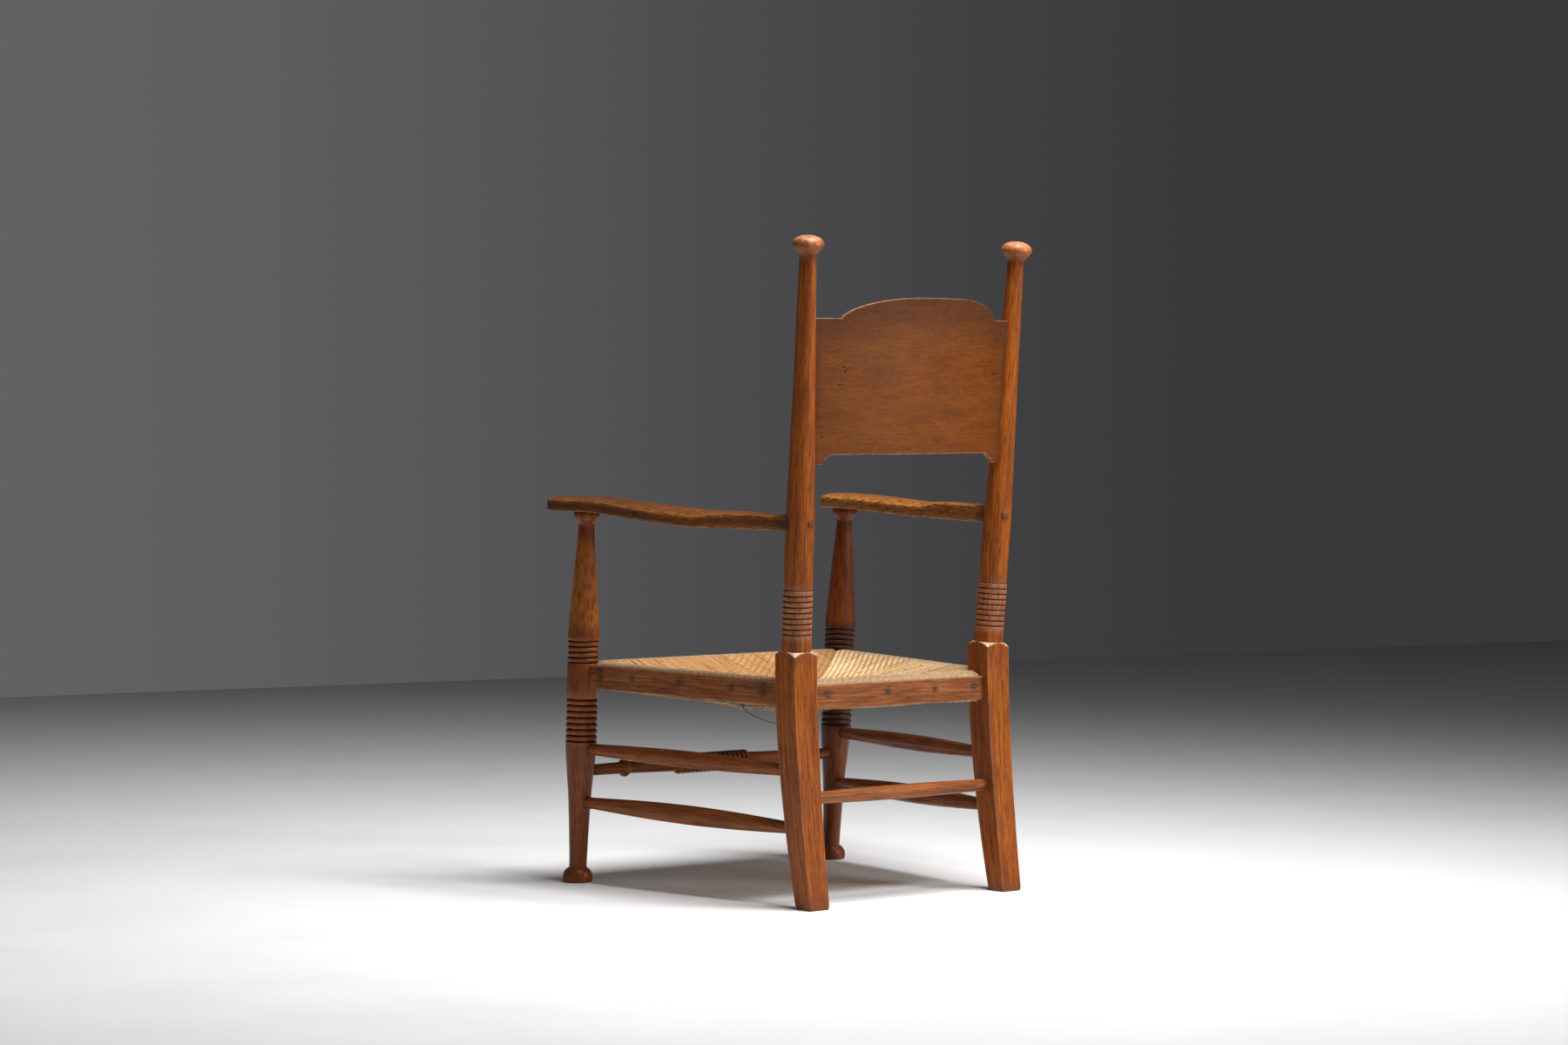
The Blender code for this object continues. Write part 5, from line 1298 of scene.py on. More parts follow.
def make_rear_post(word, side, looks):
    """Square swept leg, pommelled block and leaning turned post in one piece."""
    seed = 1 + side
    rows = leg_rows(side, seed, looks) + pommel_rows(side, seed, looks)
    rows += upper_rows(side, seed, looks)
    piece = skin(f"rear_post_{word}_oak", rows, finish_of("rear_oak"))
    settle(piece, "oak_posts", f"rear_post_{word}")


def front_profile(length):
    """(distance up the post, radius) from the foot to the button's top."""
    neck, widest = length - BUTTON_DEPTHS[0], length - BUTTON_DEPTHS[1]
    profile = [(0.0, FOOT_BOTTOM_RADIUS), (0.0010, 0.0249), (0.0030, 0.0257),
               (FOOT_WIDEST, FOOT_RADIUS)]
    profile += swell(FOOT_RADIUS, FOOT_NECK_RADIUS, FOOT_WIDEST, FOOT_TOP, 12, 0.55)[1:-1]
    profile += smooth_profile(VASE)
    profile += ring_profile(LOWER_RINGS, DRUM_RADIUS, FRONT_RING_DEPTH, 2.7)
    profile += [(LOWER_RINGS[1] + 0.0008, DRUM_RADIUS - 0.0006),
                (LOWER_RINGS[1] + RING_MARGIN, DRUM_RADIUS), (0.335, DRUM_RADIUS),
                (0.360, DRUM_RADIUS), (UPPER_RINGS[0] - RING_MARGIN, DRUM_RADIUS),
                (UPPER_RINGS[0] - 0.0008, DRUM_RADIUS - 0.0006)]
    profile += ring_profile(UPPER_RINGS, DRUM_RADIUS, FRONT_RING_DEPTH, 2.7)
    profile += [(UPPER_RINGS[1] + 0.0008, DRUM_RADIUS - 0.0006)]
    profile += [(UPPER_RINGS[1] + RING_MARGIN, DRUM_RADIUS)]
    profile += smooth_profile(CONE + ((neck, BUTTON_NECK_RADIUS),))[:-1]
    profile += reversed(swell(BUTTON_RADIUS, BUTTON_NECK_RADIUS, widest, neck, 12, 1.3))
    for sine, cosine in arc(20, 40, 60, 78, 90):
        profile.append((widest + (length - widest) * sine,
                        BUTTON_TOP_RADIUS + (BUTTON_RADIUS - BUTTON_TOP_RADIUS) * cosine))
    return profile


def shaded_turning(spot, side):
    """Lightens the left post's cone as a painted highlight, and darkens the right post as painted
    shade, most of all on its drum.
    """
    height = spot.grain.z
    if side > 0:
        cone = blend(CONE[0][0], CONE[0][0] + 0.03, height) * blend(0.60, 0.57, height)
        return spot._replace(wear=spot.wear + CONE_HIGHLIGHT * cone)
    drum = blend(LOWER_RINGS[0] - 0.02, LOWER_RINGS[0], height)
    drum *= blend(UPPER_RINGS[1] + 0.02, UPPER_RINGS[1], height)
    return spot._replace(grime=max(spot.grime, RIGHT_POST_SHADE + RIGHT_DRUM_SHADE * drum))


def make_front_post(word, side, looks):
    """Turned post from its bun foot to the button under the arm."""
    direction = lean(side, FRONT_SPLAY, FRONT_RAKE)
    foot = Vector((side * FRONT_FOOT[0], FRONT_FOOT[1], 0.0))
    length = FRONT_LENGTHS[side]
    rows = turned_rows(foot, direction, front_profile(length), looks.post_segments, 4 + side,
                       FOOT_WIDEST, length - 0.0004)
    rows = [[shaded_turning(spot, side) for spot in row] for row in rows]
    piece = skin(f"front_post_{word}_oak", rows, finish_of("front_oak"))
    settle(piece, "oak_posts", f"front_post_{word}")


def panel_end(height):
    """How far from the middle the panel's end reaches into the rear post at a height."""
    return rear_axis(1, height).x - PANEL_END_TO_AXIS


def panel_curve(x):
    """How far back the panel's middle surface lies at x."""
    end, foot = panel_end(PIN_HEIGHT), PANEL_FOOT + PLAY
    if abs(x) <= foot:
        return PANEL_BOW * (1.0 - (x / end) ** 2)
    return PANEL_BOW * (1.0 - (foot / end) ** 2) * (end - abs(x)) / (end - foot)


def panel_normal(x):
    """Direction straight out of the panel's back at x."""
    end, foot = panel_end(PIN_HEIGHT), PANEL_FOOT + PLAY
    slope = -2.0 * PANEL_BOW * x / end ** 2
    if abs(x) > foot:
        slope = math.copysign(panel_curve(foot) / (end - foot), -x)
    return Vector((-slope, 1.0, 0.0)).normalized()


def panel_point(x, height, offset):
    """Point at an offset behind the panel's middle surface."""
    middle = Vector((x, rear_axis(1, height).y + panel_curve(x), height))
    return middle + panel_normal(x) * offset


def panel_top(x):
    """Height of the panel's top edge: level shoulders and a raised crest."""
    half, power = PANEL_CRESTS[1 if x > 0.0 else -1]
    share = min(1.0, abs(x) / half)
    return PANEL_SHOULDER + PANEL_RISE * (1.0 - share ** power) ** 0.62


def panel_bottom(x):
    """Height of the panel's bottom edge: straight, with a hollow cove to each lower corner."""
    inside = PANEL_FOOT - abs(x)
    if inside < 0.0:
        return PANEL_BOTTOM - PANEL_FOOT_DROP
    if inside >= PANEL_COVE:
        return PANEL_BOTTOM
    share = 1.0 - inside / PANEL_COVE
    return PANEL_BOTTOM - (PANEL_FOOT_DROP - PANEL_FOOT_LIP) * share ** 2.2


def panel_heights(low, high):
    """Heights up one face of the panel, close together beside its two long edges."""
    near = (0.0, 0.0010, 0.0025, 0.0050)
    heights = [low + step for step in near]
    heights += [low + 0.0100 + (high - low - 0.0200) * i / 12 for i in range(13)]
    return heights + [high - step for step in reversed(near)]


def panel_row(x, x_low=None, x_high=None):
    """Section of the panel at one column, its long edges rounded by wear."""
    low, high, half = panel_bottom(x), panel_top(x), PANEL_THICKNESS / 2
    edge = 0.0011
    heights = panel_heights(low + edge, high - edge)
    outline = [(-half, height, 0.0) for height in heights]
    for sine, cosine in arc(30, 60, 90, 120, 150):
        outline.append((-half * cosine, high - edge + edge * sine, 1.0))
    outline += [(half, height, 0.0) for height in reversed(heights)]
    for sine, cosine in arc(30, 60, 90, 120, 150):
        outline.append((half * cosine, low + edge - edge * sine, 0.8))
    row = []
    for offset, height, edge_wear in outline:
        column = x
        if x_low is not None:
            column = x_low + (x_high - x_low) * (height - low) / (high - low)
        rim = min(high - height, height - low)
        worn = max(1.4 * edge_wear, 0.8 * blend(0.0024, 0.0008, rim))
        beside = panel_end(height) - abs(column) - 0.021
        # Dirt at the slots; darker towards the crest and towards the ends
        dirt = max(PANEL_SLOT_DIRT * blend(0.008, 0.0, beside),
                   CREST_DARKENING * blend(0.100, 0.0, high - height),
                   PANEL_END_DARKENING * blend(0.060, 0.0, beside))
        row.append(Spot(panel_point(column, height, offset), Vector((offset, height, column)),
                        worn, dirt))
    return row


def panel_columns(side):
    """Distances from the middle of one half's columns, close together where its edges turn."""
    foot = PANEL_FOOT
    half = [PANEL_CRESTS[side][0] * math.sin(math.pi / 2 * i / 34) for i in range(35)]
    half += [foot - PANEL_COVE * s for s in (1.0, 0.85, 0.7, 0.58, 0.46, 0.35, 0.25, 0.16, 0.08)]
    return sorted(set(half + [foot, foot + PLAY, 0.1960, 0.2060]))


def make_panel():
    """Bowed back panel, from one end in its slot to the other."""
    low, high = panel_end(PANEL_BOTTOM), panel_end(PANEL_SHOULDER)
    rows = [panel_row(-high, -low, -high)]
    rows += [panel_row(-x) for x in reversed(panel_columns(-1)[1:])]
    rows += [panel_row(x) for x in panel_columns(1)]
    rows.append(panel_row(high, low, high))
    piece = skin("back_panel_oak", rows, finish_of("panel_oak"))
    settle(piece, "oak_panel", "back_panel")


def arm_centre(side, y):
    """How far out the arm's middle line lies at y."""
    rear = rear_axis(side, ARM_REAR_HEIGHTS[side] + ARM_THICKNESS / 2)
    front = front_axis(side, FRONT_LENGTHS[side])
    share = (rear.y - y) / (rear.y - front.y)
    return rear.x + (front.x + side * ARM_OFFSET - rear.x) * share


def arm_inner_edge(side, y):
    """The arm's inner edge is one straight line from the rear post to the rounded front."""
    rear = rear_axis(side, ARM_REAR_HEIGHTS[side] + ARM_THICKNESS / 2)
    front = front_axis(side, FRONT_LENGTHS[side])
    start = rear.x - side * STEM_HALF
    end = front.x - side * ARM_INNER_EDGE
    return start + (end - start) * (rear.y - y) / (rear.y - front.y)


def arm_row(side, y, outer_half, edge, crown, narrowing=1.0, to_post=False):
    """Section of an arm: worn square edges and a crowned top; its outer edge dips the more."""
    direction = lean(side, FRONT_SPLAY, FRONT_RAKE)
    start = ARM_REAR_HEIGHTS[side]
    rise = FRONT_LENGTHS[side] * direction.z + PLAY - start
    curved = blend(ARM_RISE[0], ARM_RISE[1], y)
    back_y = rear_axis(side, start).y
    straight = min(1.0, max(0.0, (back_y - y) / (back_y - ARM_RISE[1])))
    low = start + rise * curved
    bend = rise * (straight - curved)
    inner, outer = arm_inner_edge(side, y), arm_centre(side, y) + side * outer_half
    centre, half_width = (inner + outer) / 2, abs(outer - inner) / 2 * narrowing
    corner = min(0.0020, half_width * 0.4)
    outline = []
    for i in range(9):
        share = -1.0 + 2.0 * i / 8
        outline.append((share * (half_width - corner), 0.0, 0.0))
    for sine, cosine in arc(30, 60, 90):
        outline.append((half_width - corner + corner * sine, corner - corner * cosine, 0.8))
    outline += [(half_width, edge * 0.35, 0.1), (half_width, edge * 0.65, 0.1)]
    for sine, cosine in arc(0, 25, 50, 70):
        share = 1.0 - corner * (1.0 - cosine) / half_width
        top = edge + crown * (1.0 - share ** ARM_CROWN_POWER)
        outline.append((share * half_width, top - corner * (1.0 - sine), 1.0))
    flat = 1.0 - corner / half_width
    for i in range(21):
        share = flat * (1.0 - 2.0 * i / 20)
        top = edge + crown * (1.0 - abs(share) ** ARM_CROWN_POWER)
        outline.append((share * half_width, top, 0.10 + 0.45 * abs(share) ** 3))
    for sine, cosine in arc(70, 50, 25, 0):
        share = 1.0 - corner * (1.0 - cosine) / half_width
        top = edge + crown * (1.0 - share ** ARM_CROWN_POWER)
        outline.append((-share * half_width, top - corner * (1.0 - sine), 1.0))
    outline += [(-half_width, edge * 0.65, 0.1), (-half_width, edge * 0.35, 0.1)]
    for sine, cosine in arc(90, 60, 30):
        outline.append((-half_width + corner - corner * sine, corner - corner * cosine, 0.8))
    axis = rear_axis(side, low + edge / 2)
    row = []
    for x, z, worn in outline:
        back = y
        if to_post:
            hollow = REAR_WAIST[0][1] - 0.0012
            back = axis.y - math.sqrt(max(0.0, hollow ** 2 - (centre + x - axis.x) ** 2))
        outward = (1.0 + side * x / half_width) / 2
        lift = bend * (ARM_INNER_STRAIGHTNESS
                       + (ARM_OUTER_STRAIGHTNESS[side] - ARM_INNER_STRAIGHTNESS) * outward)
        place = Vector((centre + x, back, low + z + lift))
        dirt = 0.0
        if to_post:
            dirt = ARM_JOINT_DIRT * blend(0.012, 0.0, axis.y - REAR_WAIST[0][1] - back)
        # Painted shade towards the front of the left arm; the right arm gets a painted highlight
        # through its wear
        if side > 0:
            dirt = max(dirt, LEFT_ARM_SHADE * blend(0.10, -0.08, y))
        else:
            worn += RIGHT_ARM_HIGHLIGHT
        row.append(Spot(place, Vector((x + side * 0.4, z, back)), worn, dirt))
    return row


def make_arm(word, side):
    """Arm from its coped rear end to its round nose, and the plug over its screw."""
    tip_y = front_axis(side, FRONT_LENGTHS[side]).y - ARM_OVERHANG
    round_y = tip_y + ARM_HALF
    crown = ARM_THICKNESS - STEM_EDGE
    rear_y = rear_axis(side, ARM_REAR_HEIGHTS[side]).y - REAR_WAIST[0][1]
    thicker = ARM_STEM_THICKER[side]
    stem_edge = STEM_EDGE + thicker
    rows = [arm_row(side, rear_y, STEM_HALF, stem_edge, crown, to_post=True)]
    rows[0] = [spot._replace(grime=ARM_JOINT_DIRT) for spot in rows[0]]
    for y in (0.196, 0.180, 0.150, 0.120, ARM_STEP_Y + 0.0030, ARM_STEP_Y + 0.0010):
        rows.append(arm_row(side, y, STEM_HALF, stem_edge, crown))
    steps = 44
    for i in range(steps + 1):
        y = ARM_STEP_Y + (round_y - ARM_STEP_Y) * i / steps
        half = STEM_HALF + ARM_STEP
        half += (ARM_HALF - half) * blend(ARM_STEP_Y, ARM_FLARE_END_Y, y)
        fall = blend(ARM_STEP_Y, EDGE_FALL_END_Y, y)
        edge = stem_edge + (ARM_EDGE - stem_edge) * fall
        rows.append(arm_row(side, y, half, edge, ARM_THICKNESS + thicker * (1.0 - fall) - edge))
    for sine, cosine in arc(10, 20, 30, 40, 49, 58, 66, 73, 79, 84, 88):
        rows.append(arm_row(side, round_y - ARM_HALF * sine, ARM_HALF,
                            ARM_EDGE, (ARM_THICKNESS - ARM_EDGE) * cosine, cosine))
    piece = skin(f"arm_{word}_oak", rows, finish_of("arm_oak"), 50.0)
    settle(piece, "oak_arms", f"arm_{word}")
    axis = rear_axis(side, ARM_REAR_HEIGHTS[side] + ARM_THICKNESS / 2)
    back = Vector((axis.x - arm_centre(side, axis.y - 1.0), 1.0, 0.0)).normalized()
    profile = [(0.0, PLUG_RADIUS), (0.0228, PLUG_RADIUS), (0.0243, PLUG_RADIUS - 0.0002),
               (0.0247, PLUG_RADIUS - 0.0008), (0.0249, PLUG_RADIUS * 0.6),
               (0.0250, PLUG_RADIUS * 0.2)]
    rows = turned_rows(axis, back, profile, 32, 9)
    plug = skin(f"arm_plug_{word}_oak", [
        [s._replace(grain=Vector((s.grain.z, s.grain.x, s.grain.y)), wear=0.15, grime=0.25)
         for s in row] for row in rows], finish_of("front_oak"))
    settle(plug, "oak_arms", f"arm_plug_{word}")


def make_stretcher(name, start, end, profile_of, looks, seed):
    """Turned stretcher between the middle lines of two legs, dirty where it enters them."""
    direction = (end - start).normalized()
    base = start + direction * TIP_TO_AXIS
    length = (end - start).length - 2 * TIP_TO_AXIS
    rows = turned_rows(base, direction, profile_of(length), looks.stretcher_segments, seed)
    marked = []
    for row in rows:
        near_end = min(row[0].grain.z, length - row[0].grain.z)
        dirt = STRETCHER_JOINT_DIRT * blend(0.034, 0.018, near_end)
        marked.append([spot._replace(grime=max(spot.grime, dirt)) for spot in row])
    piece = skin(f"{name}_oak", marked, finish_of("stretcher_oak"))
    settle(piece, "oak_posts", name)


def swelled(length, middle_radius):
    """(distance, radius) of a stretcher that swells from plain ends to its middle."""
    profile = [(0.0, SWELL_END_RADIUS), (PLAIN_END * 0.6, SWELL_END_RADIUS)]
    for i in range(31):
        share = i / 30
        radius = SWELL_END_RADIUS + (middle_radius - SWELL_END_RADIUS) * math.sin(math.pi * share)
        profile.append((PLAIN_END + (length - 2 * PLAIN_END) * share, radius))
    return profile + [(length - PLAIN_END * 0.6, SWELL_END_RADIUS), (length, SWELL_END_RADIUS)]


def reeded(length):
    """Front stretcher: a bead near each end and a run of reeds round the middle."""
    middle = length / 2
    offset, half_bead, bead_radius = BEAD
    half = smooth_profile([(-middle, FRONT_END_RADIUS), (-offset - half_bead - 0.02, 0.0101),
                           (-offset - half_bead, BEAD_WAIST)], 0.012)
    for i in range(1, 14):
        across = -1.0 + i / 7
        half.append((-offset + half_bead * across,
                     BEAD_WAIST + (bead_radius - BEAD_WAIST) * (1.0 - across * across) ** 0.6))
    reeds_half, count, radius, depth = REEDS
    half += smooth_profile([(-offset + half_bead, BEAD_WAIST),
                            (-reeds_half - RING_MARGIN, SHAFT_RADIUS)], 0.012)
    reeds = ring_profile((-reeds_half, reeds_half, count), radius, depth, 2.2)
    mirrored = [(-distance, r) for distance, r in reversed(half)]
    return [(distance + middle, r) for distance, r in half + reeds + mirrored]


def make_stretchers(looks):
    """Two stretchers on each side, one at the rear and one at the front."""
    for word, side in SIDES.items():
        for number, (level, (heights, radius)) in enumerate(SIDE_STRETCHERS.items()):
            front, rear = heights[word]
            make_stretcher(f"side_stretcher_{level}_{word}", front_axis(side, front),
                           rear_leg_centre(side, rear),
                           lambda length, r=radius: swelled(length, r), looks,
                           6 + number + side * 2)
    height, radius = REAR_STRETCHER
    make_stretcher("rear_stretcher", rear_leg_centre(1, height), rear_leg_centre(-1, height),
                   lambda length: swelled(length, radius), looks, 11)
    make_stretcher("front_stretcher", front_axis(1, FRONT_STRETCHER_HEIGHT),
                   front_axis(-1, FRONT_STRETCHER_HEIGHT), reeded, looks, 12)


def make_strip(seat, word, looks):
    """Thin strip nailed over the rolled edge, slightly uneven and worn along its edges."""
    side = seat.sides[word]
    low, high = seat.span(word)
    start = low - (STRIP_INTO_BLOCK if word == "rear" else STRIP_INTO_DRUM)
    end = high + (STRIP_INTO_DRUM if word == "front" else STRIP_INTO_BLOCK)
    nails = [(low + (high - low) * share, lift) for share, lift in nail_places(word)]
    rows = []
    count = 60
    section = square_section(STRIP_THICKNESS / 2, STRIP_WIDTH / 2, looks.edge_radius * 0.8)
    for i in range(count + 1):
        distance = start + (end - start) * i / count
        height = side.rail_height(distance) + STRIP_LIFT
        row = []
        for x, z, edge in section:
            wave = 0.00035 * wavy((distance * 14.0, z * 30.0, 0.0), 1.0, len(word))
            place = side.point(distance, STRIP_THICKNESS / 2 - x + abs(wave), height + z + wave)
            stain = 0.0
            for along, lift in nails:
                away = math.hypot(along - distance, lift - z)
                stain = max(stain, NAIL_STAIN * blend(0.0100, 0.002, away))
            row.append(Spot(place, Vector((z, x + len(word) * 0.17, distance)),
                            edge * STRIP_EDGE_WEAR, stain))
        rows.append(row)
    piece = skin(f"edge_strip_{word}_oak", rows, finish_of("strip_oak"))
    settle(piece, "oak_strips", f"edge_strip_{word}")


def nail_places(word):
    """(share along the strip, height above its middle) of each nail."""
    if word in ("front", "rear"):
        return [(share, NAIL_LIFT) for share in CROSS_NAIL_SHARES]
    places = [(share, NAIL_LIFT) for share in SIDE_NAIL_SHARES]
    for share in NAIL_PAIR_SHARES:
        places += [(share, lift) for lift in NAIL_PAIR_LIFTS]
    return places


def head_rows(centre, outward, radius, height, seed):
    """Hand made round head, a little out of round, with its rim let into the wood."""
    rows = []
    across = outward.orthogonal().normalized()
    along = outward.cross(across)
    for share, lift, worn in ((1.0, -0.30, 0.0), (1.02, 0.10, 0.0), (0.96, 0.42, 0.1),
                              (0.80, 0.72, 0.35), (0.50, 0.94, 0.75), (0.20, 1.0, 0.9)):
        row = []
        for i in range(20):
            angle = math.tau * i / 20
            uneven = 1.0 + 0.07 * wavy((math.cos(angle), math.sin(angle), seed), 1.3, 31)
            reach = radius * share * uneven
            place = centre + outward * height * lift
            place += across * reach * math.cos(angle) + along * reach * math.sin(angle)
            row.append(Spot(place, place, worn, 0.0))
        rows.append(row)
    return rows


def make_nails(seat, word, looks):
    """Heads of the nails in one edge strip."""
    side = seat.sides[word]
    low, high = seat.span(word)
    outward = Vector((-side.inward.x, -side.inward.y, 0.0))
    for number, (share, lift) in enumerate(nail_places(word), start=1):
        distance = low + (high - low) * share
        height = side.rail_height(distance) + STRIP_LIFT + lift
        rows = head_rows(side.point(distance, 0.0, height), outward, looks.nail_radius, 0.0009,
                         number)
        nail = skin(f"nail_{word}_{number}_head", rows, finish_of("iron"), 60.0)
        settle(nail, "iron", f"nail_{word}_{number}")


def make_pins(looks):
    """Pin heads in the backs of the rear posts, which hold the panel's ends."""
    for word, side in SIDES.items():
        axis = rear_axis(side, PIN_HEIGHT)
        middle = panel_point(axis.x - side * PIN_FROM_AXIS, PIN_HEIGHT, 0.0)
        outward = panel_normal(middle.x)
        profile = rear_profile()
        distance = (PIN_HEIGHT - BLOCK_TOP) / lean(1, REAR_SPLAY, REAR_RAKE).z
        radius = next(r0 + (r1 - r0) * (distance - d0) / (d1 - d0)
                      for (d0, r0), (d1, r1) in zip(profile, profile[1:]) if d0 <= distance < d1)
        away = math.sqrt(radius ** 2 - PIN_FROM_AXIS ** 2)
        centre = middle + outward * (away - (middle.y - axis.y))
        pin = skin(f"panel_pin_{word}_head",
                   head_rows(centre, outward, looks.nail_radius * 0.62, 0.0004, 40 + side),
                   finish_of("iron"), 60.0)
        settle(pin, "iron", f"panel_pin_{word}")


class MakePiece:
    """Shared by the operators that make pieces of the chair."""
    bl_options = {"REGISTER", "UNDO"}


class ARMCHAIR_OT_stage(MakePiece, bpy.types.Operator):
    """Set up the camera, the pale floor, the backdrop and the soft studio lamps"""
    bl_idname = "armchair.stage"
    bl_label = "Studio"

    def execute(self, context):
        looks = context.scene.armchair_studio
        make_camera()
        make_floor(looks)
        make_world(looks)
        add_lamp("overhead_softbox", *OVERHEAD_LAMP, looks.overhead)
        add_lamp("side_softbox", *SIDE_LAMP, looks.side)
        return {"FINISHED"}


def make_camera():
    """Camera at the photograph's place: back left quarter of the chair, slightly above it."""
    level = math.cos(CAMERA_PITCH)
    ahead = Vector((-math.sin(CAMERA_HEADING) * level, -math.cos(CAMERA_HEADING) * level,
                    -math.sin(CAMERA_PITCH)))
    right = ahead.cross(LEVEL).normalized()
    up = right.cross(ahead)
    right, up = (right * math.cos(CAMERA_ROLL) + up * math.sin(CAMERA_ROLL),
                 up * math.cos(CAMERA_ROLL) - right * math.sin(CAMERA_ROLL))
    data = bpy.data.cameras.new("camera")
    data.lens = CAMERA_LENS
    data.sensor_width = CAMERA_SENSOR
    data.clip_end = 60.0
    camera = bpy.data.objects.new("camera", data)
    turn = Matrix((right, up, -ahead)).transposed().to_4x4()
    place = Vector((math.sin(CAMERA_AZIMUTH) * CAMERA_DISTANCE,
                    math.cos(CAMERA_AZIMUTH) * CAMERA_DISTANCE - CAMERA_SETBACK, CAMERA_HEIGHT))
    camera.matrix_world = Matrix.Translation(place) @ turn
    bpy.context.scene.collection.objects.link(camera)
    bpy.context.scene.camera = camera


def make_floor(looks):
    """Large plain floor with a painted pool of light: pale round the chair, and grey far from it as
    painted shade.
    """
    finish = Finish("studio_floor", roughness=0.55)
    place = finish.add("ShaderNodeTexCoord", {}).outputs["Object"]
    # Painted pool of light, fading to painted shade away from its centre
    centre = finish.vector_maths("SUBTRACT", place, FLOOR_LIGHT_POOL_CENTRE)
    away = finish.add("ShaderNodeVectorMath", {0: centre}, operation="LENGTH").outputs["Value"]
    scuff = finish.noise(finish.stretch(place, (3.0, 3.0, 3.0)), 4.0, 0.6)
    reach = finish.plus(away, finish.span(scuff, 0.3, 0.7, -0.04, 0.04))
    colour = finish.mix(finish.span(reach, *FLOOR_LIGHT_FADE), looks.floor[:], looks.floor_in_shade[:])
    finish.set("Base Color", colour)
    finish.set("Roughness", finish.span(scuff, 0.3, 0.7, 0.50, 0.62))
    mesh = bpy.data.meshes.new("studio_floor")
    mesh.from_pydata(FLOOR_CORNERS, [], [(0, 1, 2, 3)])
    add_piece("studio_floor", mesh, finish.material)


def make_world(looks):
    """Even fill light; the camera, gloss and glass see the grey backdrop instead, painted darker
    towards the chair's right as painted shade.
    """
    world = bpy.data.worlds.new("studio_world")
    world.use_nodes = True
    wiring = Wiring(world.node_tree)
    fill = wiring.tree.nodes["Background"]
    fill.inputs["Color"].default_value = (1.0, 0.99, 0.98, 1.0)
    fill.inputs["Strength"].default_value = looks.fill
    facing = wiring.add("ShaderNodeTexCoord", {}).outputs["Generated"]
    across = wiring.add("ShaderNodeVectorMath", {0: facing, 1: BACKDROP_ACROSS},
                        operation="DOT_PRODUCT").outputs["Value"]
    # Painted shade: the backdrop darkens from the chair's left to its right
    tint = wiring.mix(wiring.span(across, *BACKDROP_SHADE_FADE), looks.backdrop[:],
                      looks.backdrop_in_shade[:])
    backdrop = wiring.add("ShaderNodeBackground", {"Color": tint}).outputs["Background"]
    rays = wiring.add("ShaderNodeLightPath", {}).outputs
    seen = wiring.maths("MAXIMUM", rays["Is Camera Ray"], rays["Is Glossy Ray"])
    seen = wiring.maths("MAXIMUM", seen, rays["Is Transmission Ray"])
    choice = wiring.add("ShaderNodeMixShader", {
        "Fac": seen, 1: fill.outputs["Background"], 2: backdrop}).outputs["Shader"]
    wiring.feed(wiring.tree.nodes["World Output"].inputs["Surface"], choice)
    bpy.context.scene.world = world


def add_lamp(name, place, target, size, power):
    """Square soft lamp at a place, aimed at a target."""
    data = bpy.data.lights.new(name, "AREA")
    data.shape = "SQUARE"
    data.size = size
    data.energy = power
    lamp = bpy.data.objects.new(name, data)
    aim = (Vector(target) - Vector(place)).to_track_quat("-Z", "Y")
    lamp.matrix_world = Matrix.Translation(place) @ aim.to_matrix().to_4x4()
    bpy.context.scene.collection.objects.link(lamp)


class ARMCHAIR_OT_twine(MakePiece, bpy.types.Operator):
    """Make the loose loop of twine below the seat's left rear corner"""
    bl_idname = "armchair.twine"
    bl_label = "Twine"

    def execute(self, context):
        points, length = twine_points()
        size = [TWINE_RADIUS] * len(points)
        strand = Strand(points, size, [0.0] * len(points), 0.4, 1.0, 0.0)
        mesh = strands_mesh("rush_twine_cord", [strand], 12, 2)
        piece = add_piece("rush_twine_cord", mesh, finish_of("twine"), 60.0)
        settle(piece, "twine", "rush_twine")
        return {"FINISHED"}


class ARMCHAIR_OT_posts(MakePiece, bpy.types.Operator):
    """Turn the two front posts and the two rear posts"""
    bl_idname = "armchair.posts"
    bl_label = "Posts"

    def execute(self, context):
        looks = context.scene.armchair_turning
        for word, side in SIDES.items():
            make_front_post(word, side, looks)
            make_rear_post(word, side, looks)
        return {"FINISHED"}


class ARMCHAIR_OT_panel(MakePiece, bpy.types.Operator):
    """Make the bowed back panel and the pins that hold it"""
    bl_idname = "armchair.panel"
    bl_label = "Back panel"

    def execute(self, context):
        make_panel()
        make_pins(context.scene.armchair_turning)
        return {"FINISHED"}


class ARMCHAIR_OT_arms(MakePiece, bpy.types.Operator):
    """Make the two arms, and the plugs over the screws that hold them"""
    bl_idname = "armchair.arms"
    bl_label = "Arms"

    def execute(self, context):
        for word, side in SIDES.items():
            make_arm(word, side)
            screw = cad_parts[f"arm_screw_{word}"]
            for slot in screw.material_slots:
                slot.material = finish_of("iron")
        return {"FINISHED"}


class ARMCHAIR_OT_stretchers(MakePiece, bpy.types.Operator):
    """Turn the six stretchers between the legs"""
    bl_idname = "armchair.stretchers"
    bl_label = "Stretchers"

    def execute(self, context):
        make_stretchers(context.scene.armchair_turning)
        return {"FINISHED"}


class ARMCHAIR_OT_rush(MakePiece, bpy.types.Operator):
    """Weave the rush seat over its rails"""
    bl_idname = "armchair.rush"
    bl_label = "Rush seat"

    def execute(self, context):
        seat = Seat()
        looks = context.scene.armchair_rush
        strands = rush_strands(seat, looks) + loose_strands(seat)
        mesh = strands_mesh("rush_seat_weave", strands)
        weave = add_piece("rush_seat_weave", mesh, finish_of("rush"), 60.0)
        settle(weave, "rush", "rush_seat")
        core = skin("rush_seat_core", core_rows(seat), finish_of("rush_core"))
        settle(core, "rush", "rush_seat")
        for word in seat.sides:
            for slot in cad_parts[f"seat_rail_{word}"].material_slots:
                slot.material = finish_of("rail_wood")
        return {"FINISHED"}


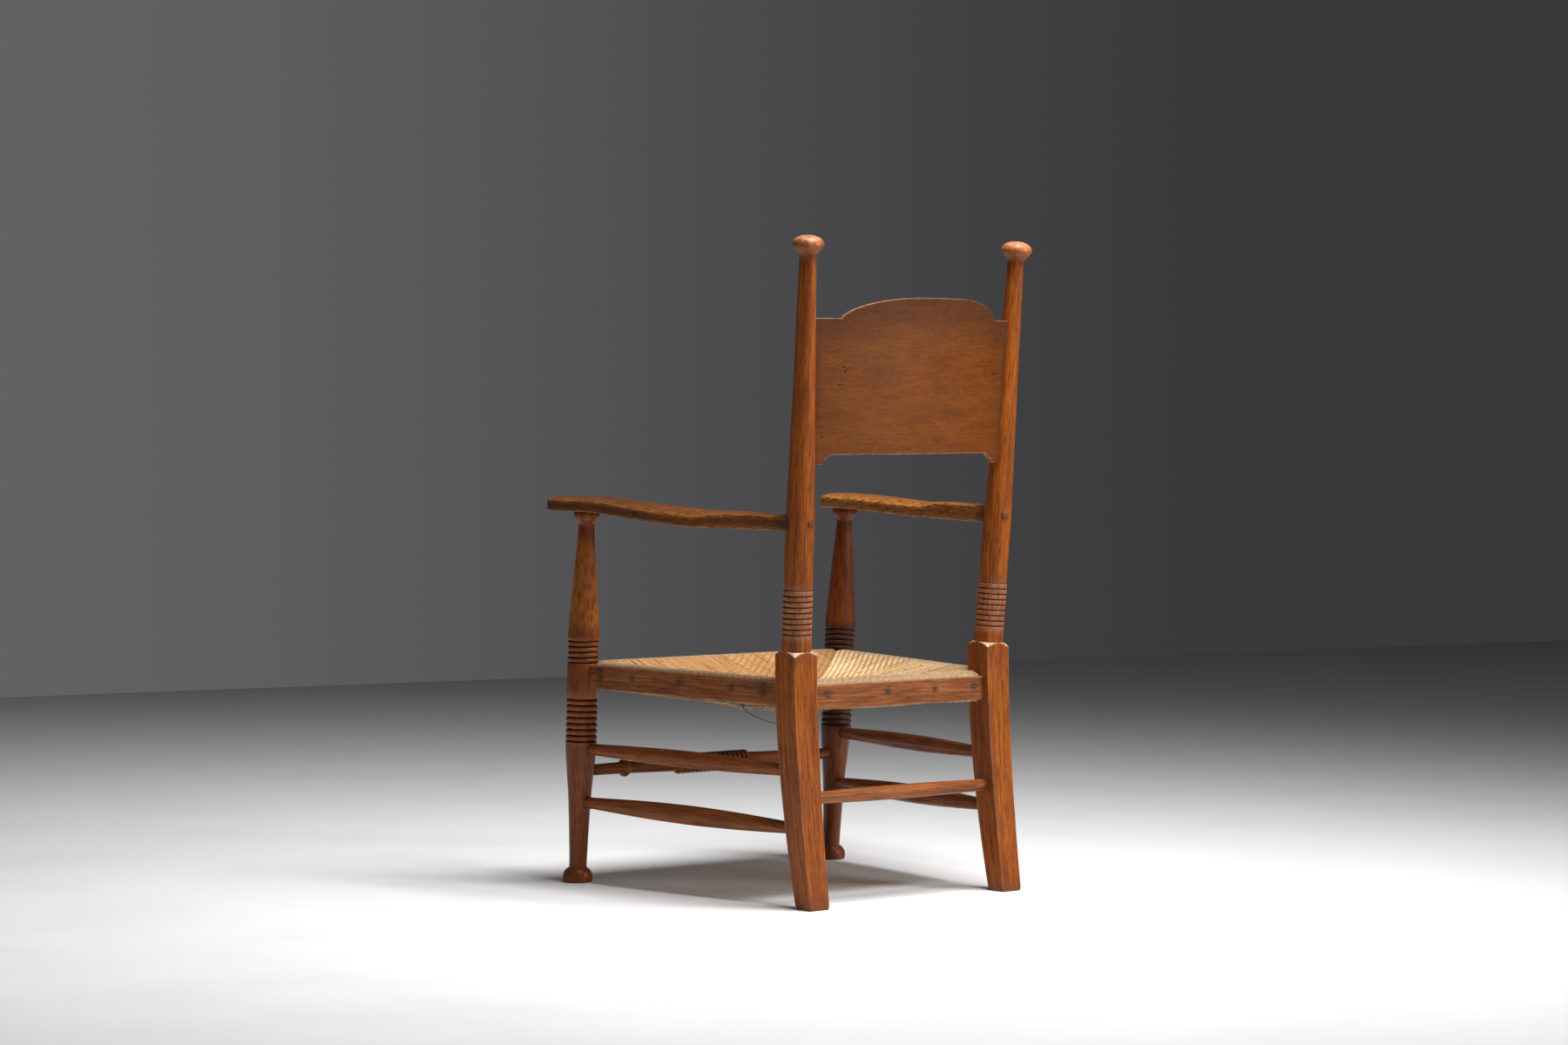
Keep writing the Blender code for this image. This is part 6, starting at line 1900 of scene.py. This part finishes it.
class ARMCHAIR_OT_strips(MakePiece, bpy.types.Operator):
    """Make the nailed strips along the seat's four edges"""
    bl_idname = "armchair.strips"
    bl_label = "Edge strips"

    def execute(self, context):
        seat = Seat()
        looks = context.scene.armchair_turning
        for word in seat.sides:
            make_strip(seat, word, looks)
            make_nails(seat, word, looks)
        return {"FINISHED"}


class ARMCHAIR_PT_sidebar(bpy.types.Panel):
    """Sizes, colours and pieces of the armchair"""
    bl_idname = "ARMCHAIR_PT_sidebar"
    bl_label = "Rush Seat Armchair"
    bl_space_type = "VIEW_3D"
    bl_region_type = "UI"
    bl_category = "Armchair"

    def draw(self, context):
        column = self.layout.column()
        for operator in OPERATORS:
            column.operator(operator.bl_idname)
        for name, group in GROUPS.items():
            looks = getattr(context.scene, name)
            for key in group.__annotations__:
                column.prop(looks, key)


GROUPS = {
    "armchair_wood": WoodColours,
    "armchair_rush": RushLooks,
    "armchair_turning": TurningLooks,
    "armchair_studio": StudioLooks,
}
OPERATORS = (
    ARMCHAIR_OT_stage,
    ARMCHAIR_OT_twine,
    ARMCHAIR_OT_rush,
    ARMCHAIR_OT_strips,
    ARMCHAIR_OT_posts,
    ARMCHAIR_OT_panel,
    ARMCHAIR_OT_arms,
    ARMCHAIR_OT_stretchers,
)


def register():
    for kind in (*GROUPS.values(), *OPERATORS, ARMCHAIR_PT_sidebar):
        bpy.utils.register_class(kind)
    for name, group in GROUPS.items():
        setattr(bpy.types.Scene, name, PointerProperty(type=group))


def unregister():
    for name in GROUPS:
        delattr(bpy.types.Scene, name)
    for kind in reversed((*GROUPS.values(), *OPERATORS, ARMCHAIR_PT_sidebar)):
        bpy.utils.unregister_class(kind)


def main():
    register()
    bpy.context.scene.view_settings.view_transform = "Standard"
    bpy.ops.armchair.stage()
    bpy.ops.armchair.twine()
    bpy.ops.armchair.rush()
    bpy.ops.armchair.strips()
    bpy.ops.armchair.posts()
    bpy.ops.armchair.panel()
    bpy.ops.armchair.arms()
    bpy.ops.armchair.stretchers()


if __name__ == "__main__":
    main()
